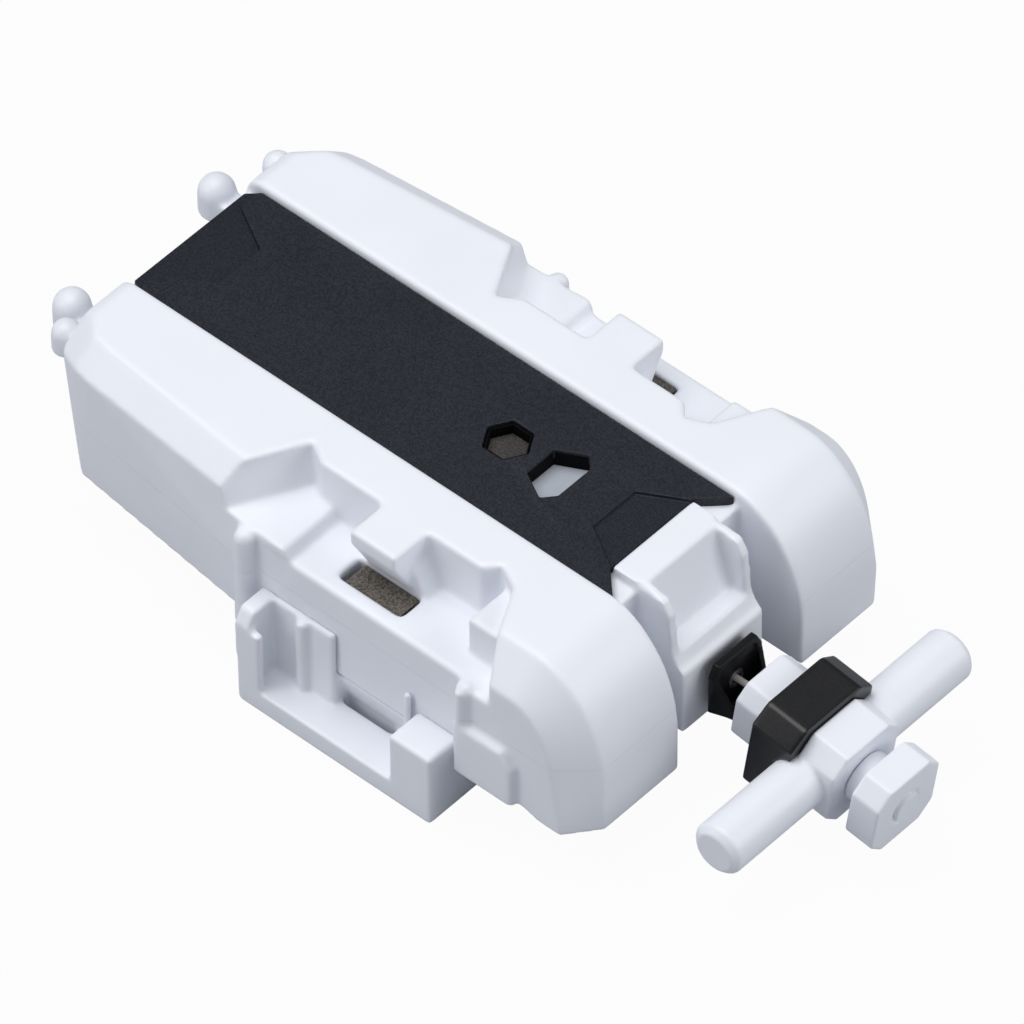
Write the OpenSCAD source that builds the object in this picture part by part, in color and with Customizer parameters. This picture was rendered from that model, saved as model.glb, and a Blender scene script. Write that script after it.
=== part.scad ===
/* [Shell] */
// Distance from the launch axis forward to the front of the two noses
nose_x = 42.6; // [41.5:0.1:46]
// Distance from the launch axis back to the foot of the tail
tail_x = 55.3; // [54.5:0.1:60]
// How much further back the tail reaches at its top
tail_lean = 5.2; // [3:0.1:7]
// Height of the shell from the underside of its noses to its crown
shell_h = 25.35; // [25:0.05:28]
// Height of the seam between the two case halves above the underside of the noses
seam_h = 11; // [10:0.1:12]
// Height above the underside of the noses where the top bevel of each flank begins
chine_h = 21.8; // [20.8:0.1:22.4]
// Wall of the case mouldings
wall = 1.6; // [1.2:0.1:2]
// Thickness of the lower case's floor
floor_t = 1.8; // [1.4:0.1:2.2]
// Half width over the crown at the tail
crown_y_tail = 24.4; // [23.5:0.1:25.5]
// Half width over the crown at the hips, just behind the side pockets
crown_y_hip = 27.2; // [26:0.1:28]
// Half width over the crown at the noses
crown_y_nose = 28; // [27:0.1:28.6]
// Half width at the bevel's lower edge at the tail
chine_y_tail = 28.6; // [28.2:0.1:29]
// Half width at the bevel's lower edge at the hips
chine_y_hip = 31.2; // [30.8:0.1:31.5]
// Half width at the foot of the tail
foot_y_tail = 27.4; // [26.8:0.1:28]
// Half width at the foot of the hips
foot_y_hip = 31; // [30.6:0.1:31.2]
// How far the flanks swell at the seam, beyond their foot
seam_swell = 0.6; // [0.3:0.1:0.8]
// Half width at the foot of the noses
foot_y_nose = 33; // [32:0.1:34]
// Distance from the launch axis back to the hips
hip_x = 24; // [23:0.5:26]
// Length of the curved brow of a nose, along the launcher
brow_l = 13; // [11:0.5:14]
// Height of the curved brow of a nose
brow_h = 18; // [15:0.5:19]
// Width of the swept bevel round the side of a nose
cheek_w = 5.4; // [4.5:0.1:6]
// Radius of the inner ears behind the tail
ear_r = 2.8; // [2:0.1:3]
// Radius of the outer ears behind the tail
ear_small_r = 2.2; // [1.8:0.1:2.4]

/* [Top panel] */
// Clear width of the bay between the two flanks
bay_w = 25.3; // [24.5:0.1:26]
// How far the panel's face lies below the crown
panel_drop = 1.05; // [0.6:0.05:1.4]
// Thickness of the panel
panel_t = 1.8; // [1.4:0.1:2]
// Clearance round the panel
panel_gap = 0.12; // [0.08:0.02:0.2]
// Distance from the launch axis forward to the panel's front edge
panel_front_x = 26.2; // [25.5:0.1:27]
// Depth of the two trapezoid recesses in the panel
recess_d = 0.5; // [0.3:0.1:0.8]
// Corner radius of the hexagonal window
window_r = 3.8; // [3.6:0.1:4.2]
// Thickness of the bay's floor under the panel
bay_floor_t = 1.7; // [1.4:0.1:2]

/* [Side pockets] */
// Half width between the back walls of the side pockets
pocket_y = 21; // [20.6:0.1:21.4]
// Height of the upper pocket floor above the underside of the noses
ledge_h = 18.3; // [17.8:0.1:18.8]
// Height of the lower pocket floor above the underside of the noses
shelf_h = 16.3; // [15.8:0.1:16.8]
// Length of the slot in each lower pocket floor
slot_l = 11.6; // [11:0.1:12]
// Width of the slot in each lower pocket floor
slot_w = 4.5; // [4.3:0.1:4.8]
// Half width between the flat side walls beside the grip rails
flank_y = 31.6; // [31.2:0.1:32]

/* [Hub and grip rails] */
// Depth of the hub below the underside of the noses
hub_h = 9.2; // [9:0.1:10.5]
// Distance from the launch axis back to the rear of the hub
hub_x = 17.8; // [17.2:0.1:18.4]
// Distance from the launch axis forward to the front of the hub and its grip rails
hub_front_x = 19.3; // [19:0.1:19.6]
// Radius of the round well that the launch claw turns in
well_r = 15.2; // [14.6:0.1:15.6]
// Half width over the grip rails
rail_y = 37.8; // [37:0.1:38.4]
// Height of the rail's rear cheek above the underside of the noses
rail_top_h = 8.4; // [7.6:0.1:9]
// Height of the rail's front cheek above the underside of the noses
rail_low_h = 3.7; // [3:0.1:4.4]
// Thickness of the rail's floor
rail_floor_t = 3.8; // [3:0.1:4.5]
// Wall of the hub
hub_wall = 2; // [1.6:0.1:2.4]

/* [Front block] */
// Half width of the block that holds the string outlet
block_y = 8.3; // [8:0.1:8.8]
// Distance from the launch axis forward to the block's face
block_x = 39.5; // [39:0.1:40.5]
// Height of the ledge under the block's brow pocket, above the underside of the noses
brow_ledge_h = 14.3; // [13.6:0.1:15]
// Height of the string outlet above the underside of the noses
outlet_h = 6.3; // [6:0.1:6.6]
// Half width of the bumper cup round the outlet
bumper_y = 5; // [4.6:0.1:5.4]
// Height of the bumper cup
bumper_h = 11; // [10:0.2:11.4]

/* [Reel] */
// Distance between the reel's axis and the launch axis
reel_x = 30; // [30:1:30]
// Module of the gear teeth
gear_m = 1; // [1:1:1]
// Teeth on the reel
reel_teeth = 42; // [42:1:42]
// Radius of the drum that the string winds on
drum_r = 14.2; // [13.8:0.1:14.6]
// Radius of the reel's lower flange
flange_r = 18.4; // [17.5:0.1:19]
// Radius of the steel post that carries the reel
post_r = 2; // [1.8:0.1:2.2]
// Diameter of the string
string_d = 1; // [0.9:0.05:1.05]
// Turns of string in the drum's one layer
string_turns = 5; // [5:1:5]
// Thickness of the mainspring's strip
strip_t = 0.35; // [0.3:0.05:0.4]
// Turns of the mainspring
strip_turns = 7; // [5:1:7]

/* [Launch shaft] */
// Outer radius of the launch shaft
shaft_r = 3.5; // [3.3:0.1:3.7]
// Running clearance of shafts and pins in their bores
run_gap = 0.05; // [0.03:0.01:0.08]
// Radius of the sensing pin's stem
pin_r = 1.2; // [1.1:0.1:1.3]
// Corner radius of the sensing pin's hexagonal head
head_r = 3.2; // [3:0.1:3.3]
// How far the sensing pin is pushed up by a seated top
pin_travel = 2; // [1.6:0.1:2.2]
// Radius of the claw's disc
claw_r = 13.4; // [13:0.1:14]

/* [Handle] */
// Distance from the launch axis forward to the middle of the handle bar
bar_x = 59.6; // [59:0.1:62]
// Height of the bar's middle above the underside of the noses
bar_h = 4.5; // [4:0.1:5]
// How far the handle hangs down from level, in degrees
handle_tilt = 8; // [6:0.5:8]
// Length of the handle bar
bar_l = 50; // [46:0.5:56]
// Diameter of the handle bar
bar_d = 8.2; // [7.6:0.1:8.6]
// Half width of the octagonal hub of the handle
boss_y = 6.9; // [6.6:0.1:7.2]
// Half width of the black clip
clip_y = 8.5; // [8.2:0.1:9]
// Height of the clip's top above the handle's axis
clip_top = 8; // [7.8:0.1:8.4]
// Half width of the rear collar
collar_y = 5.6; // [5.2:0.1:5.8]
// Half width of the end cap
cap_y = 6.4; // [6:0.1:6.8]

/* [Hidden] */
$fn = 64;
over = 0.5;                          // overrun of every cut
slab = 0.02;                         // thickness of a section that a hull joins
fit_gap = 0.02;                      // gap of pieces pressed into each other
seat_gap = 0.3;                      // gap between a moving piece and its seat

// Levels, measured from the underside of the hub
foot_z = hub_h;
crown_z = foot_z + shell_h;
chine_z = foot_z + chine_h;
seam_z = foot_z + seam_h;
panel_z = crown_z - panel_drop;
bay_z = panel_z - panel_t;
ceiling_z = bay_z - bay_floor_t;
ledge_z = foot_z + ledge_h;
shelf_z = foot_z + shelf_h;
outlet_z = foot_z + outlet_h;
floor_z = foot_z + floor_t;

// Shell stations
tail_top_x = tail_x + tail_lean;
tail_top_h = 20;                     // height at which the leaning tail turns upright
tail_round = 2.4;                    // rounding of the tail's upper edge
tail_top_y = 20.5;                   // half width over the crown at the very back
tail_flank_y = 25.6;                 // half width of the flank at the very back
tail_corner_x = 52.4;                // where the bevel of the tail's corner begins
tail_corner_in = 0.6;                // and how much narrower the tail is behind it
shoulder_x = 20;                     // where the flanks reach the width of the noses
brow_x = nose_x - brow_l;
brow_z = crown_z - brow_h;
brow_steps = 18;
nose_foot_in = 3.9;                  // how far the bevelled cheek stands back at its foot
reach = 60;                          // half size of the blocks that cut the case
ear_back = 12.8;                     // how far the inner ears stand behind the tail
ear_small_back = 7.4;                // and the outer ones
ear_x = tail_x + ear_back;
ear_small_x = tail_x + ear_small_back;
ear_y = 14.9;
ear_small_y = 21.7;
ear_h = 15.3;                        // height of the inner ear's ball
ear_small_h = 19;                    // height of the outer ear's ball
ear_foot_up = 0.6;                   // how far an ear's foot lies above the seam
ear_small_foot_up = 4.8;
ear_foot_z = seam_z + ear_foot_up;
ear_small_foot_z = seam_z + ear_small_foot_up;
middle_in = 0.4;                     // how far the middle stands back from the flanks at the tail

// Side pocket outline, as distances along the launcher and out from its middle
pocket_mouth_x = 26;
pocket_mouth_front_x = 25.1;
pocket_back_x = 19.1;
pocket_back_y = 18.8;
pocket_nick_x = 15.6;
pocket_front_nick_x = 15.7;
pocket_front_x = 13.8;
pocket_corner_x = 19.3;
pocket_corner_y = 20.6;
pocket_slope_l = 1.7;                // how far the rear wall leans forward at its foot
ledge_end_x = 13.1;
shelf_start_x = 12;
slot_rear_x = 5.5;
hood_rear_x = 4.3;
hood_front_x = 4.1;
hood_y = 27.8;
hood_lip_t = 2.4;
hood_leg_x = 6.7;
hood_leg_h = 21.6;
slot_out_y = 28.8;
slot_in_y = slot_out_y - slot_w;
slot_depth = 8.5;
stub_rear_x = 17.2;
stub_front_x = 22.3;
stub_y = 27.5;
stub_h = 22.8;
fin_x = 19.6;
fin_y = 32.3;
fin_r = 1.6;
fin_h = 16.6;
nose_rib_x = 21.5;
nose_rib_r = 1.35;
nose_rib_h = 16.1;
nose_sill_t = 1.1;                   // how far the noses reach below the rest of the case
pad_rear_x = 20.1;
pad_front_x = 31;
pad_h = 9.8;
pad_t = 0.9;
lug_rear_x = 19.8;                   // rear end of the raised flank in front of the rail
bay_rear_x = hip_x;                  // rear end of the flat flank behind the rail

// Panel outline
panel_rear_in = 1.1;                 // how far the panel ends short of the tail
panel_rear_x = tail_top_x - panel_rear_in;
panel_rear_y = 11.3;
panel_corner_l = 2.2;
panel_horn_x = 30.3;
panel_half = bay_w / 2 - panel_gap;
panel_front_y = 8.6;
rear_recess_x = 50;
recess_y = 4.3;
rear_recess_y = 9.8;
front_recess_x = 19.4;
panel_slope_l = 2.4;
panel_slope_d = 0.9;
shield_rear_x = 5.9;
shield_wide_x = 10.4;
shield_front_x = 12.1;
shield_rear_y = 2.8;
shield_wide_y = 5.2;
shield_front_y = 3.2;

// Front block
block_rear_x = 30.6;                 // where the wall beside the block stands
block_top_x = 31.8;                  // front edge of the block's top facet
cheek_top_x = 35.6;                  // front of the two cheeks at the top
cheek_mid_x = 36.8;                  // and where their fronts turn down
cheek_mid_h = 21.4;
cheek_low_x = 37.5;                  // and at the ledge
cheek_y = 6.8;                       // half width between the cheeks
brow_in_x = 35;                      // back of the brow pocket at its foot
block_chamfer = 1;
block_bevel_x = 0.9;                 // bevel of the block's front under its ledge
block_bevel_low = 2.8;
block_bevel_top = 2;
cheek_drop = 0.8;
outlet_bore_r = 1.5;

// Bumper cup
bumper_wall = 1;
bumper_neck_r = 3;
bumper_gap = 1.4;                    // clear space between block and cup
bumper_top_l = 1.3;                  // length of the cup at its top
bumper_lip_l = 3.95;                 // and at its lower lip
bumper_rear_x = block_x + bumper_gap;
bumper_top_x = bumper_rear_x + bumper_top_l;
bumper_lip_x = bumper_rear_x + bumper_lip_l;
bumper_chamfer = 2;
cup_floor_t = 0.9;

// String tube
tube_r = outlet_bore_r - fit_gap;
string_play = 0.25;                  // room round the string
tube_bore_r = string_d / 2 + string_play;
tube_rear_x = 27;
tube_flange_r = 2.3;
tube_flange_t = 0.8;
tube_front_x = bumper_rear_x + cup_floor_t;

// Reel stack
pinion_teeth = 18;
reel_pitch_r = gear_m * reel_teeth / 2;
pinion_pitch_r = gear_m * pinion_teeth / 2;
tooth_thin = 0.12;                   // play between meshed teeth
winding_play = 0.2;
winding_h = string_turns * string_d + winding_play;
flange_t = 1;
reel_lift = 0.55;                    // gap under the reel
reel_low_z = floor_z + reel_lift;
winding_low_z = reel_low_z + flange_t;
gear_low_z = winding_low_z + winding_h;
gear_t = 3.3;
reel_top_z = gear_low_z + gear_t;
drum_wall = 1.3;
drum_bore_r = drum_r - drum_wall;
cover_t = 0.9;
reel_hub_r = 3.6;
arbor_r = 4;
arbor_slot_w = 0.7;
spring_low_z = winding_low_z + seat_gap;
spring_top_z = reel_top_z - cover_t - seat_gap;
strip_in_r = arbor_r + 3 * fit_gap;
strip_out_r = drum_bore_r - seat_gap - strip_t;
strip_steps = 22;

// Launch shaft stack
plate_gap = 0.7;                     // gap over the reel
plate_z = reel_top_z + plate_gap;
plate_t = 1.4;
plate_top_z = plate_z + plate_t;
bush_r = 5;
hub_top_t = 1.7;                     // thickness of the hub's roof
bush_low_z = hub_h - hub_top_t;
pinion_in = 0.2;                     // how much lower the drive gear is at each face than the reel's teeth
pinion_low_z = gear_low_z + pinion_in;
pinion_t = gear_t - 2 * pinion_in;
ratchet_out_r = 6.6;
ratchet_in_r = 5.9;
ratchet_mid_r = (ratchet_in_r + ratchet_out_r) / 2;
ratchet_teeth = 9;
ratchet_back_a = 2;                  // angle of a tooth's steep back, and half way up its slope
ratchet_rise_a = 20;
ratchet_d = 1.5;
spacer_r = 4.7;
clip_ring_t = 0.5;
claw_disc_t = 2;
claw_disc_z = bush_low_z - claw_disc_t - 2 * seat_gap;
claw_boss_t = 1;
claw_boss_r = 5.4;
hook_in_r = 9;
hook_out_r = 12.2;
hook_lip_r = 7.6;
hook_low_z = 0.5;
hook_lip_t = 1.3;
hook_w = 4.2;
hook_count = 3;
shoulder_r = 5.1;
shoulder_gap = 0.5;                  // gap under the pin's shoulder
shoulder_z = plate_top_z + shoulder_gap;
shoulder_t = 1;
neck_r = 2.2;
head_t = 2;
head_top_z = panel_z - pin_travel;
tip_r = 2.6;
tip_t = 1.7;
tip_z = claw_disc_z - pin_travel - tip_t - seat_gap;
coil_r = 4.35;
coil_wire_r = 0.22;
coil_turns = 4;
coil_steps = 8;
coil_sides = 6;

// Screws and posts
screw_r = 1.3;
screw_head_r = 2.4;
screw_head_t = 1.4;
screw_bore_r = 1.4;
screw_play = 0.1;                    // room round a screw's head or shank
screw_l = 15;
boss_r = 2.9;
rear_boss_x = 51;
rear_boss_y = 17.8;
mid_boss_x = 18.5;
mid_boss_y = 13.6;
nose_boss_x = 33.5;
nose_boss_y = 20;
hub_screw_x = 13.2;
hub_screw_y = 20.5;
hub_screw_l = 7.2;
plate_post_r = 2.3;
plate_front_x = 8;
plate_front_y = 15;
plate_rear_x = 45.2;
plate_rear_y = 21;
plate_screw_r = 0.9;
plate_screw_l = 6;

// Handle stations along its own axis
collar_rear_u = 13.8;
clip_rear_u = 8.6;
clip_front_u = 1.3;
clip_wall = 1.7;
clip_low = 8.6;
clip_side_top = 5.8;
clip_side_low = 6.4;
clip_flat_y = 5.6;
boss_front_u = 5.2;
cap_rear_u = 8;
cap_front_u = 13;
cap_neck_r = 4;
button_r = 2.2;
button_t = 0.4;
bar_end_r = 1;
string_bore_r = 0.9;
knot_r = 1.5;
bar_z = foot_z + bar_h;

// The nose boss ends in the curved ceiling of the brow
nose_boss_share = (nose_boss_x + boss_r / 2 - brow_x) / (brow_l - wall);
nose_boss_z = brow_z + (brow_h - wall) * sqrt(1 - pow(nose_boss_share, 2));

case_screw_places = [
    [-rear_boss_x, rear_boss_y, crown_z - wall / 2],
    [mid_boss_x, mid_boss_y, ceiling_z + wall / 2],
    [nose_boss_x, nose_boss_y, nose_boss_z]
];
plate_screw_places = [[-plate_front_x, plate_front_y], [-plate_rear_x, plate_rear_y]];

// The radius of a gear's base circle, and the angle of an involute flank in degrees
pressure_angle = 20;
function roll_angle(radius, base) = let (a = acos(min(1, base / radius))) tan(a) * 180 / PI - a;

// One gear outline: teeth are thinned by tooth_thin for play
function gear_points(teeth, addendum, dedendum) =
    let (
        pitch = gear_m * teeth / 2,
        base = pitch * cos(pressure_angle),
        root = pitch - dedendum,
        tip = pitch + addendum,
        half = 90 / teeth - tooth_thin / 4 / pitch * 180 / PI + roll_angle(pitch, base),
        first = max(base, root),
        flank = [for (i = [0:3]) first + (tip - first) * i / 3]
    )
    [for (n = [0:teeth - 1]) let (mid = n * 360 / teeth) each concat(
        root < base ? [[root * cos(mid - half), root * sin(mid - half)]] : [],
        [for (r = flank) let (a = mid - half + roll_angle(r, base)) [r * cos(a), r * sin(a)]],
        [for (i = [3:-1:0]) let (r = flank[i], a = mid + half - roll_angle(r, base)) [r * cos(a), r * sin(a)]],
        root < base ? [[root * cos(mid + half), root * sin(mid + half)]] : []
    )];

// Both sides of the launcher are alike
module both_sides() {
    children();
    mirror([0, 1, 0]) children();
}

module yz_slab(x, points) {
    translate([x, 0, 0]) rotate([90, 0, 90]) linear_extrude(slab) polygon(points);
}

module xz_slab(y, thick, points) {
    translate([0, y, 0]) rotate([90, 0, 0]) linear_extrude(thick) polygon(points);
}

// Side view of a nose, drawn in by t all round and by cheek where the bevel ends
function nose_points(t, cheek, foot_in) = concat(
    [[shoulder_x, foot_z + t], [nose_x - t - foot_in, foot_z + t]],
    [for (i = [0:brow_steps]) let (a = i * 90 / brow_steps)
        [brow_x + (brow_l - t - cheek) * cos(a), brow_z + (brow_h - t - cheek) * sin(a)]],
    [[shoulder_x, brow_z + brow_h - t - cheek]]
);

// One flank of the shell as a closed form; t draws every face in by a wall
module flank(t) {
    hull() {
        yz_slab(-tail_top_x + t, [
            [-bay_w / 2 - t, foot_z + tail_top_h],
            [-bay_w / 2 - t, crown_z - tail_round - t],
            [-tail_top_y + t, crown_z - tail_round - t],
            [-tail_flank_y + tail_round / 3 + t, foot_z + tail_top_h]
        ]);
        yz_slab(-tail_top_x + tail_round / 3 + t, [
            [-bay_w / 2 - t, foot_z + tail_top_h],
            [-bay_w / 2 - t, crown_z - tail_round / 3 - t],
            [-tail_top_y + t, crown_z - tail_round / 3 - t],
            [-tail_flank_y + t, foot_z + tail_top_h]
        ]);
        yz_slab(-tail_top_x + tail_round + t, [
            [-bay_w / 2 - t, foot_z + tail_top_h],
            [-bay_w / 2 - t, crown_z - t],
            [-tail_top_y + t, crown_z - t],
            [-tail_flank_y + t, foot_z + tail_top_h]
        ]);
        yz_slab(-tail_x + t, [
            [-bay_w / 2 - t, foot_z + t],
            [-bay_w / 2 - t, crown_z - t],
            [-crown_y_tail + tail_corner_in + t, crown_z - t],
            [-chine_y_tail + tail_corner_in + t, chine_z],
            [-foot_y_tail - seam_swell + tail_corner_in + t, seam_z],
            [-foot_y_tail + t, foot_z + t]
        ]);
        yz_slab(-tail_corner_x, [
            [-bay_w / 2 - t, foot_z + t],
            [-bay_w / 2 - t, crown_z - t],
            [-crown_y_tail + t, crown_z - t],
            [-chine_y_tail + t, chine_z],
            [-foot_y_tail - seam_swell + t, seam_z],
            [-foot_y_tail + t, foot_z + t]
        ]);
        yz_slab(-hip_x, [
            [-bay_w / 2 - t, foot_z + t],
            [-bay_w / 2 - t, crown_z - t],
            [-crown_y_hip + t, crown_z - t],
            [-chine_y_hip + t, chine_z],
            [-foot_y_hip - seam_swell + t, seam_z],
            [-foot_y_hip + t, foot_z + t]
        ]);
        xz_slab(-bay_w / 2 - t, crown_y_nose - bay_w / 2 - 2 * t, nose_points(t, 0, 0));
        xz_slab(-foot_y_nose + t + slab, slab, nose_points(t, cheek_w, nose_foot_in));
    }
}

// The middle of the shell between the flanks
module middle(t) {
    xz_slab(bay_w / 2 + over, bay_w + 2 * over, [
        [-tail_x + t + middle_in, foot_z + t],
        [-tail_top_x + t + middle_in, foot_z + tail_top_h],
        [-tail_top_x + t + middle_in, bay_z],
        [block_rear_x - t, bay_z],
        [block_rear_x - t, foot_z + t]
    ]);
}

// Outline of a side pocket; grow moves its walls outward into the case
pocket_share = (pocket_mouth_x - pocket_back_x) / (flank_y - pocket_back_y);

module pocket_plan(grow) {
    polygon([
        [-pocket_mouth_x - grow - (reach - flank_y) * pocket_share, -reach],
        [-pocket_mouth_x - grow, -flank_y],
        [-pocket_back_x - grow, -pocket_back_y + grow],
        [-pocket_nick_x, -pocket_y + grow],
        [pocket_front_x, -pocket_y + grow],
        [pocket_front_nick_x, -pocket_back_y + grow],
        [pocket_corner_x + grow, -pocket_corner_y + grow],
        [pocket_mouth_front_x + grow, -flank_y],
        [pocket_mouth_front_x + grow + (reach - flank_y) * pocket_share, -reach]
    ]);
}

// The rear wall of a side pocket leans: this wedge stands along its foot
module pocket_slope() {
    run = [pocket_mouth_x - pocket_back_x, flank_y - pocket_back_y];
    intersection() {
        translate([-pocket_back_x, -pocket_back_y, 0]) rotate([0, 0, atan2(-run[1], -run[0])])
            translate([-pocket_slope_l, 0, 0]) rotate([90, 0, 90])
                linear_extrude(norm(run) + 2 * pocket_slope_l) polygon([
                    [-wall / 2, ledge_z - wall / 2],
                    [pocket_slope_l * run[1] / norm(run), ledge_z - wall / 2],
                    [pocket_slope_l * run[1] / norm(run), ledge_z],
                    [0, crown_z - wall],
                    [-wall / 2, crown_z - wall]
                ]);
        flank(slab);
    }
}

module pocket(grow) {
    intersection() {
        translate([0, 0, shelf_z - grow]) linear_extrude(reach) pocket_plan(grow);
        translate([0, -reach / 2, 0]) rotate([90, 0, 0]) linear_extrude(2 * reach, center = true) polygon([
            [-reach, ledge_z - grow],
            [-ledge_end_x - grow, ledge_z - grow],
            [-shelf_start_x - grow, shelf_z - grow],
            [reach, shelf_z - grow],
            [reach, reach + crown_z],
            [-reach, reach + crown_z]
        ]);
    }
}

// The flat side wall that the grip rail stands against
module rail_bay() {
    translate([-bay_rear_x, -reach, foot_z - over])
        cube([bay_rear_x + lug_rear_x, reach - flank_y, shelf_h + 2 * over]);
}

module ear(x, y, r, h, low) {
    translate([-x, -y, low]) cylinder(r = r, h = foot_z + h - low);
    translate([-x, -y, foot_z + h]) sphere(r = r);
    translate([-x, -y - r * 0.7, low]) cube([x - tail_x, r * 1.4, foot_z + h - low]);
}

module block_form() {
    difference() {
        xz_slab(block_y, 2 * block_y, [
            [block_rear_x - wall, foot_z],
            [block_x, foot_z],
            [block_x, foot_z + brow_ledge_h - block_bevel_low],
            [block_x - block_bevel_x, foot_z + brow_ledge_h - block_bevel_top],
            [cheek_low_x, foot_z + brow_ledge_h],
            [cheek_mid_x, foot_z + cheek_mid_h],
            [cheek_top_x, panel_z - cheek_drop],
            [block_top_x, panel_z],
            [block_rear_x - wall, panel_z]
        ]);
        // the pocket in the block's brow, between its two cheeks
        xz_slab(cheek_y, 2 * cheek_y, [
            [brow_in_x, foot_z + brow_ledge_h],
            [block_top_x, panel_z + slab],
            [nose_x, panel_z + slab],
            [nose_x, foot_z + brow_ledge_h]
        ]);
        both_sides() translate([0, -block_y, panel_z]) rotate([45, 0, 0])
            cube([4 * block_x, block_chamfer, block_chamfer], center = true);
    }
}

// The shoulder behind the block, which backs the panel's front edge
module block_root() {
    translate([0, 0, foot_z]) linear_extrude(bay_z + seat_gap - foot_z) polygon([
        [panel_front_x + 2 * panel_gap, -panel_front_y],
        [panel_horn_x + 2 * panel_gap, -panel_half],
        [panel_horn_x + 2 * panel_gap, -bay_w / 2 - over],
        [block_rear_x + 3 * panel_gap, -bay_w / 2 - over],
        [block_rear_x + 3 * panel_gap, bay_w / 2 + over],
        [panel_horn_x + 2 * panel_gap, bay_w / 2 + over],
        [panel_horn_x + 2 * panel_gap, panel_half],
        [panel_front_x + 2 * panel_gap, panel_front_y]
    ]);
    translate([panel_front_x + panel_gap, -block_y, foot_z])
        cube([block_rear_x - panel_front_x, 2 * block_y, panel_z - foot_z]);
}

// Everything of the case that shows from outside, as one solid
module case_form() {
    difference() {
        union() {
            both_sides() flank(0);
            intersection() {
                middle(0);
                translate([-reach * 2, -bay_w / 2 - slab, 0]) cube([reach * 4, bay_w + 2 * slab, reach]);
            }
            block_root();
            block_form();
            both_sides() ear(ear_x, ear_y, ear_r, ear_h, ear_foot_z);
            both_sides() ear(ear_small_x, ear_small_y, ear_small_r, ear_small_h, ear_small_foot_z);
        }
        both_sides() pocket(0);
        both_sides() rail_bay();
    }
    both_sides() {
        pocket_slope();
        hood();
        hood_leg();
        nose_rib();
        nose_step();
        nose_sill();
        stub();
        fin();
    }
}

// The hood over the slot: its face leans in down to the slot's inner edge, beside a sloping leg
module hood() {
    translate([-hood_rear_x, 0, 0]) rotate([90, 0, 90]) linear_extrude(hood_rear_x + hood_front_x) polygon([
        [-pocket_y + wall / 2, shelf_z - wall / 2],
        [-pocket_y + wall / 2, crown_z],
        [-hood_y, crown_z],
        [-hood_y, crown_z - hood_lip_t],
        [-slot_in_y, shelf_z],
        [-slot_in_y, shelf_z - wall / 2]
    ]);
}

module hood_leg() {
    xz_slab(-pocket_y + wall / 2, slot_in_y - pocket_y + wall / 2, [
        [hood_front_x - over, shelf_z - wall / 2],
        [hood_leg_x, shelf_z - wall / 2],
        [hood_leg_x, shelf_z],
        [hood_front_x, foot_z + hood_leg_h],
        [hood_front_x - over, foot_z + hood_leg_h]
    ]);
}

module stub() {
    translate([stub_rear_x, -stub_y, shelf_z - wall / 2])
        cube([stub_front_x - stub_rear_x, stub_y - pocket_y + wall, stub_h - shelf_h + wall / 2]);
}

// A short rib and a low raised pad on the side wall in front of the rail
module nose_rib() {
    translate([nose_rib_x, -foot_y_nose + nose_rib_r / 3, foot_z + pad_h - over]) cylinder(r = nose_rib_r, h = nose_rib_h - pad_h);
    translate([nose_rib_x, -foot_y_nose + nose_rib_r / 3, foot_z + nose_rib_h - over]) sphere(r = nose_rib_r);
}

module nose_step() {
    xz_slab(-foot_y_nose + wall / 2, pad_t + wall / 2, [
        [pad_rear_x + pad_t, foot_z],
        [pad_rear_x, foot_z + pad_h / 2],
        [pad_rear_x, foot_z + pad_h],
        [pad_front_x - 2 * pad_t, foot_z + pad_h],
        [pad_front_x, foot_z + pad_h * 0.75],
        [pad_front_x, foot_z]
    ]);
}

// The noses reach a little lower than the rest of the case
module nose_sill() {
    intersection() {
        translate([0, 0, foot_z - nose_sill_t]) linear_extrude(nose_sill_t + slab) polygon([
            [pad_front_x, -foot_y_nose],
            [nose_x - nose_foot_in, -foot_y_nose],
            [nose_x, -crown_y_nose],
            [nose_x, -bay_w / 2],
            [pad_front_x, -bay_w / 2]
        ]);
        xz_slab(0, reach, [
            [pad_front_x, foot_z + slab],
            [pad_front_x, foot_z - slab],
            [nose_x - 2 * nose_foot_in, foot_z - nose_sill_t],
            [nose_x, foot_z - nose_sill_t],
            [nose_x, foot_z + slab]
        ]);
    }
}

module fin() {
    translate([-fin_x, -fin_y, foot_z]) cylinder(r = fin_r, h = fin_h);
    translate([-fin_x, -fin_y, foot_z + fin_h]) sphere(r = fin_r);
}

module slot_cut() {
    translate([-slot_rear_x, -slot_out_y, shelf_z - slot_depth]) cube([slot_l, slot_w, slot_depth + over]);
}

// The inside of the case, left clear for the mechanism
module cavity() {
    difference() {
        union() {
            both_sides() flank(wall);
            translate([0, 0, 0]) intersection() {
                middle(wall);
                translate([-reach * 2, -bay_w / 2 - wall - over, floor_z])
                    cube([reach * 4, bay_w + 2 * wall + 2 * over, ceiling_z - floor_z]);
            }
            translate([-tail_x + wall, -bay_w / 2 - wall - over, floor_z])
                cube([tail_x + block_rear_x - 2 * wall, bay_w + 2 * wall + 2 * over, ceiling_z - floor_z]);
        }
        both_sides() pocket(wall);
        both_sides() translate([-bay_rear_x - wall, -reach, 0])
            cube([bay_rear_x + lug_rear_x + 2 * wall, reach - flank_y + 1.1 * wall, shelf_z]);
        both_sides() slot_well();
        translate([-reach * 2, -reach, 0]) cube([reach * 4, 2 * reach, floor_z]);
    }
}

// The walls of the well under each slot
module slot_well() {
    translate([-slot_rear_x - wall, -reach, shelf_z - slot_depth - wall])
        cube([slot_l + 2 * wall, reach - slot_in_y + wall, slot_depth + wall]);
}

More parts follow.
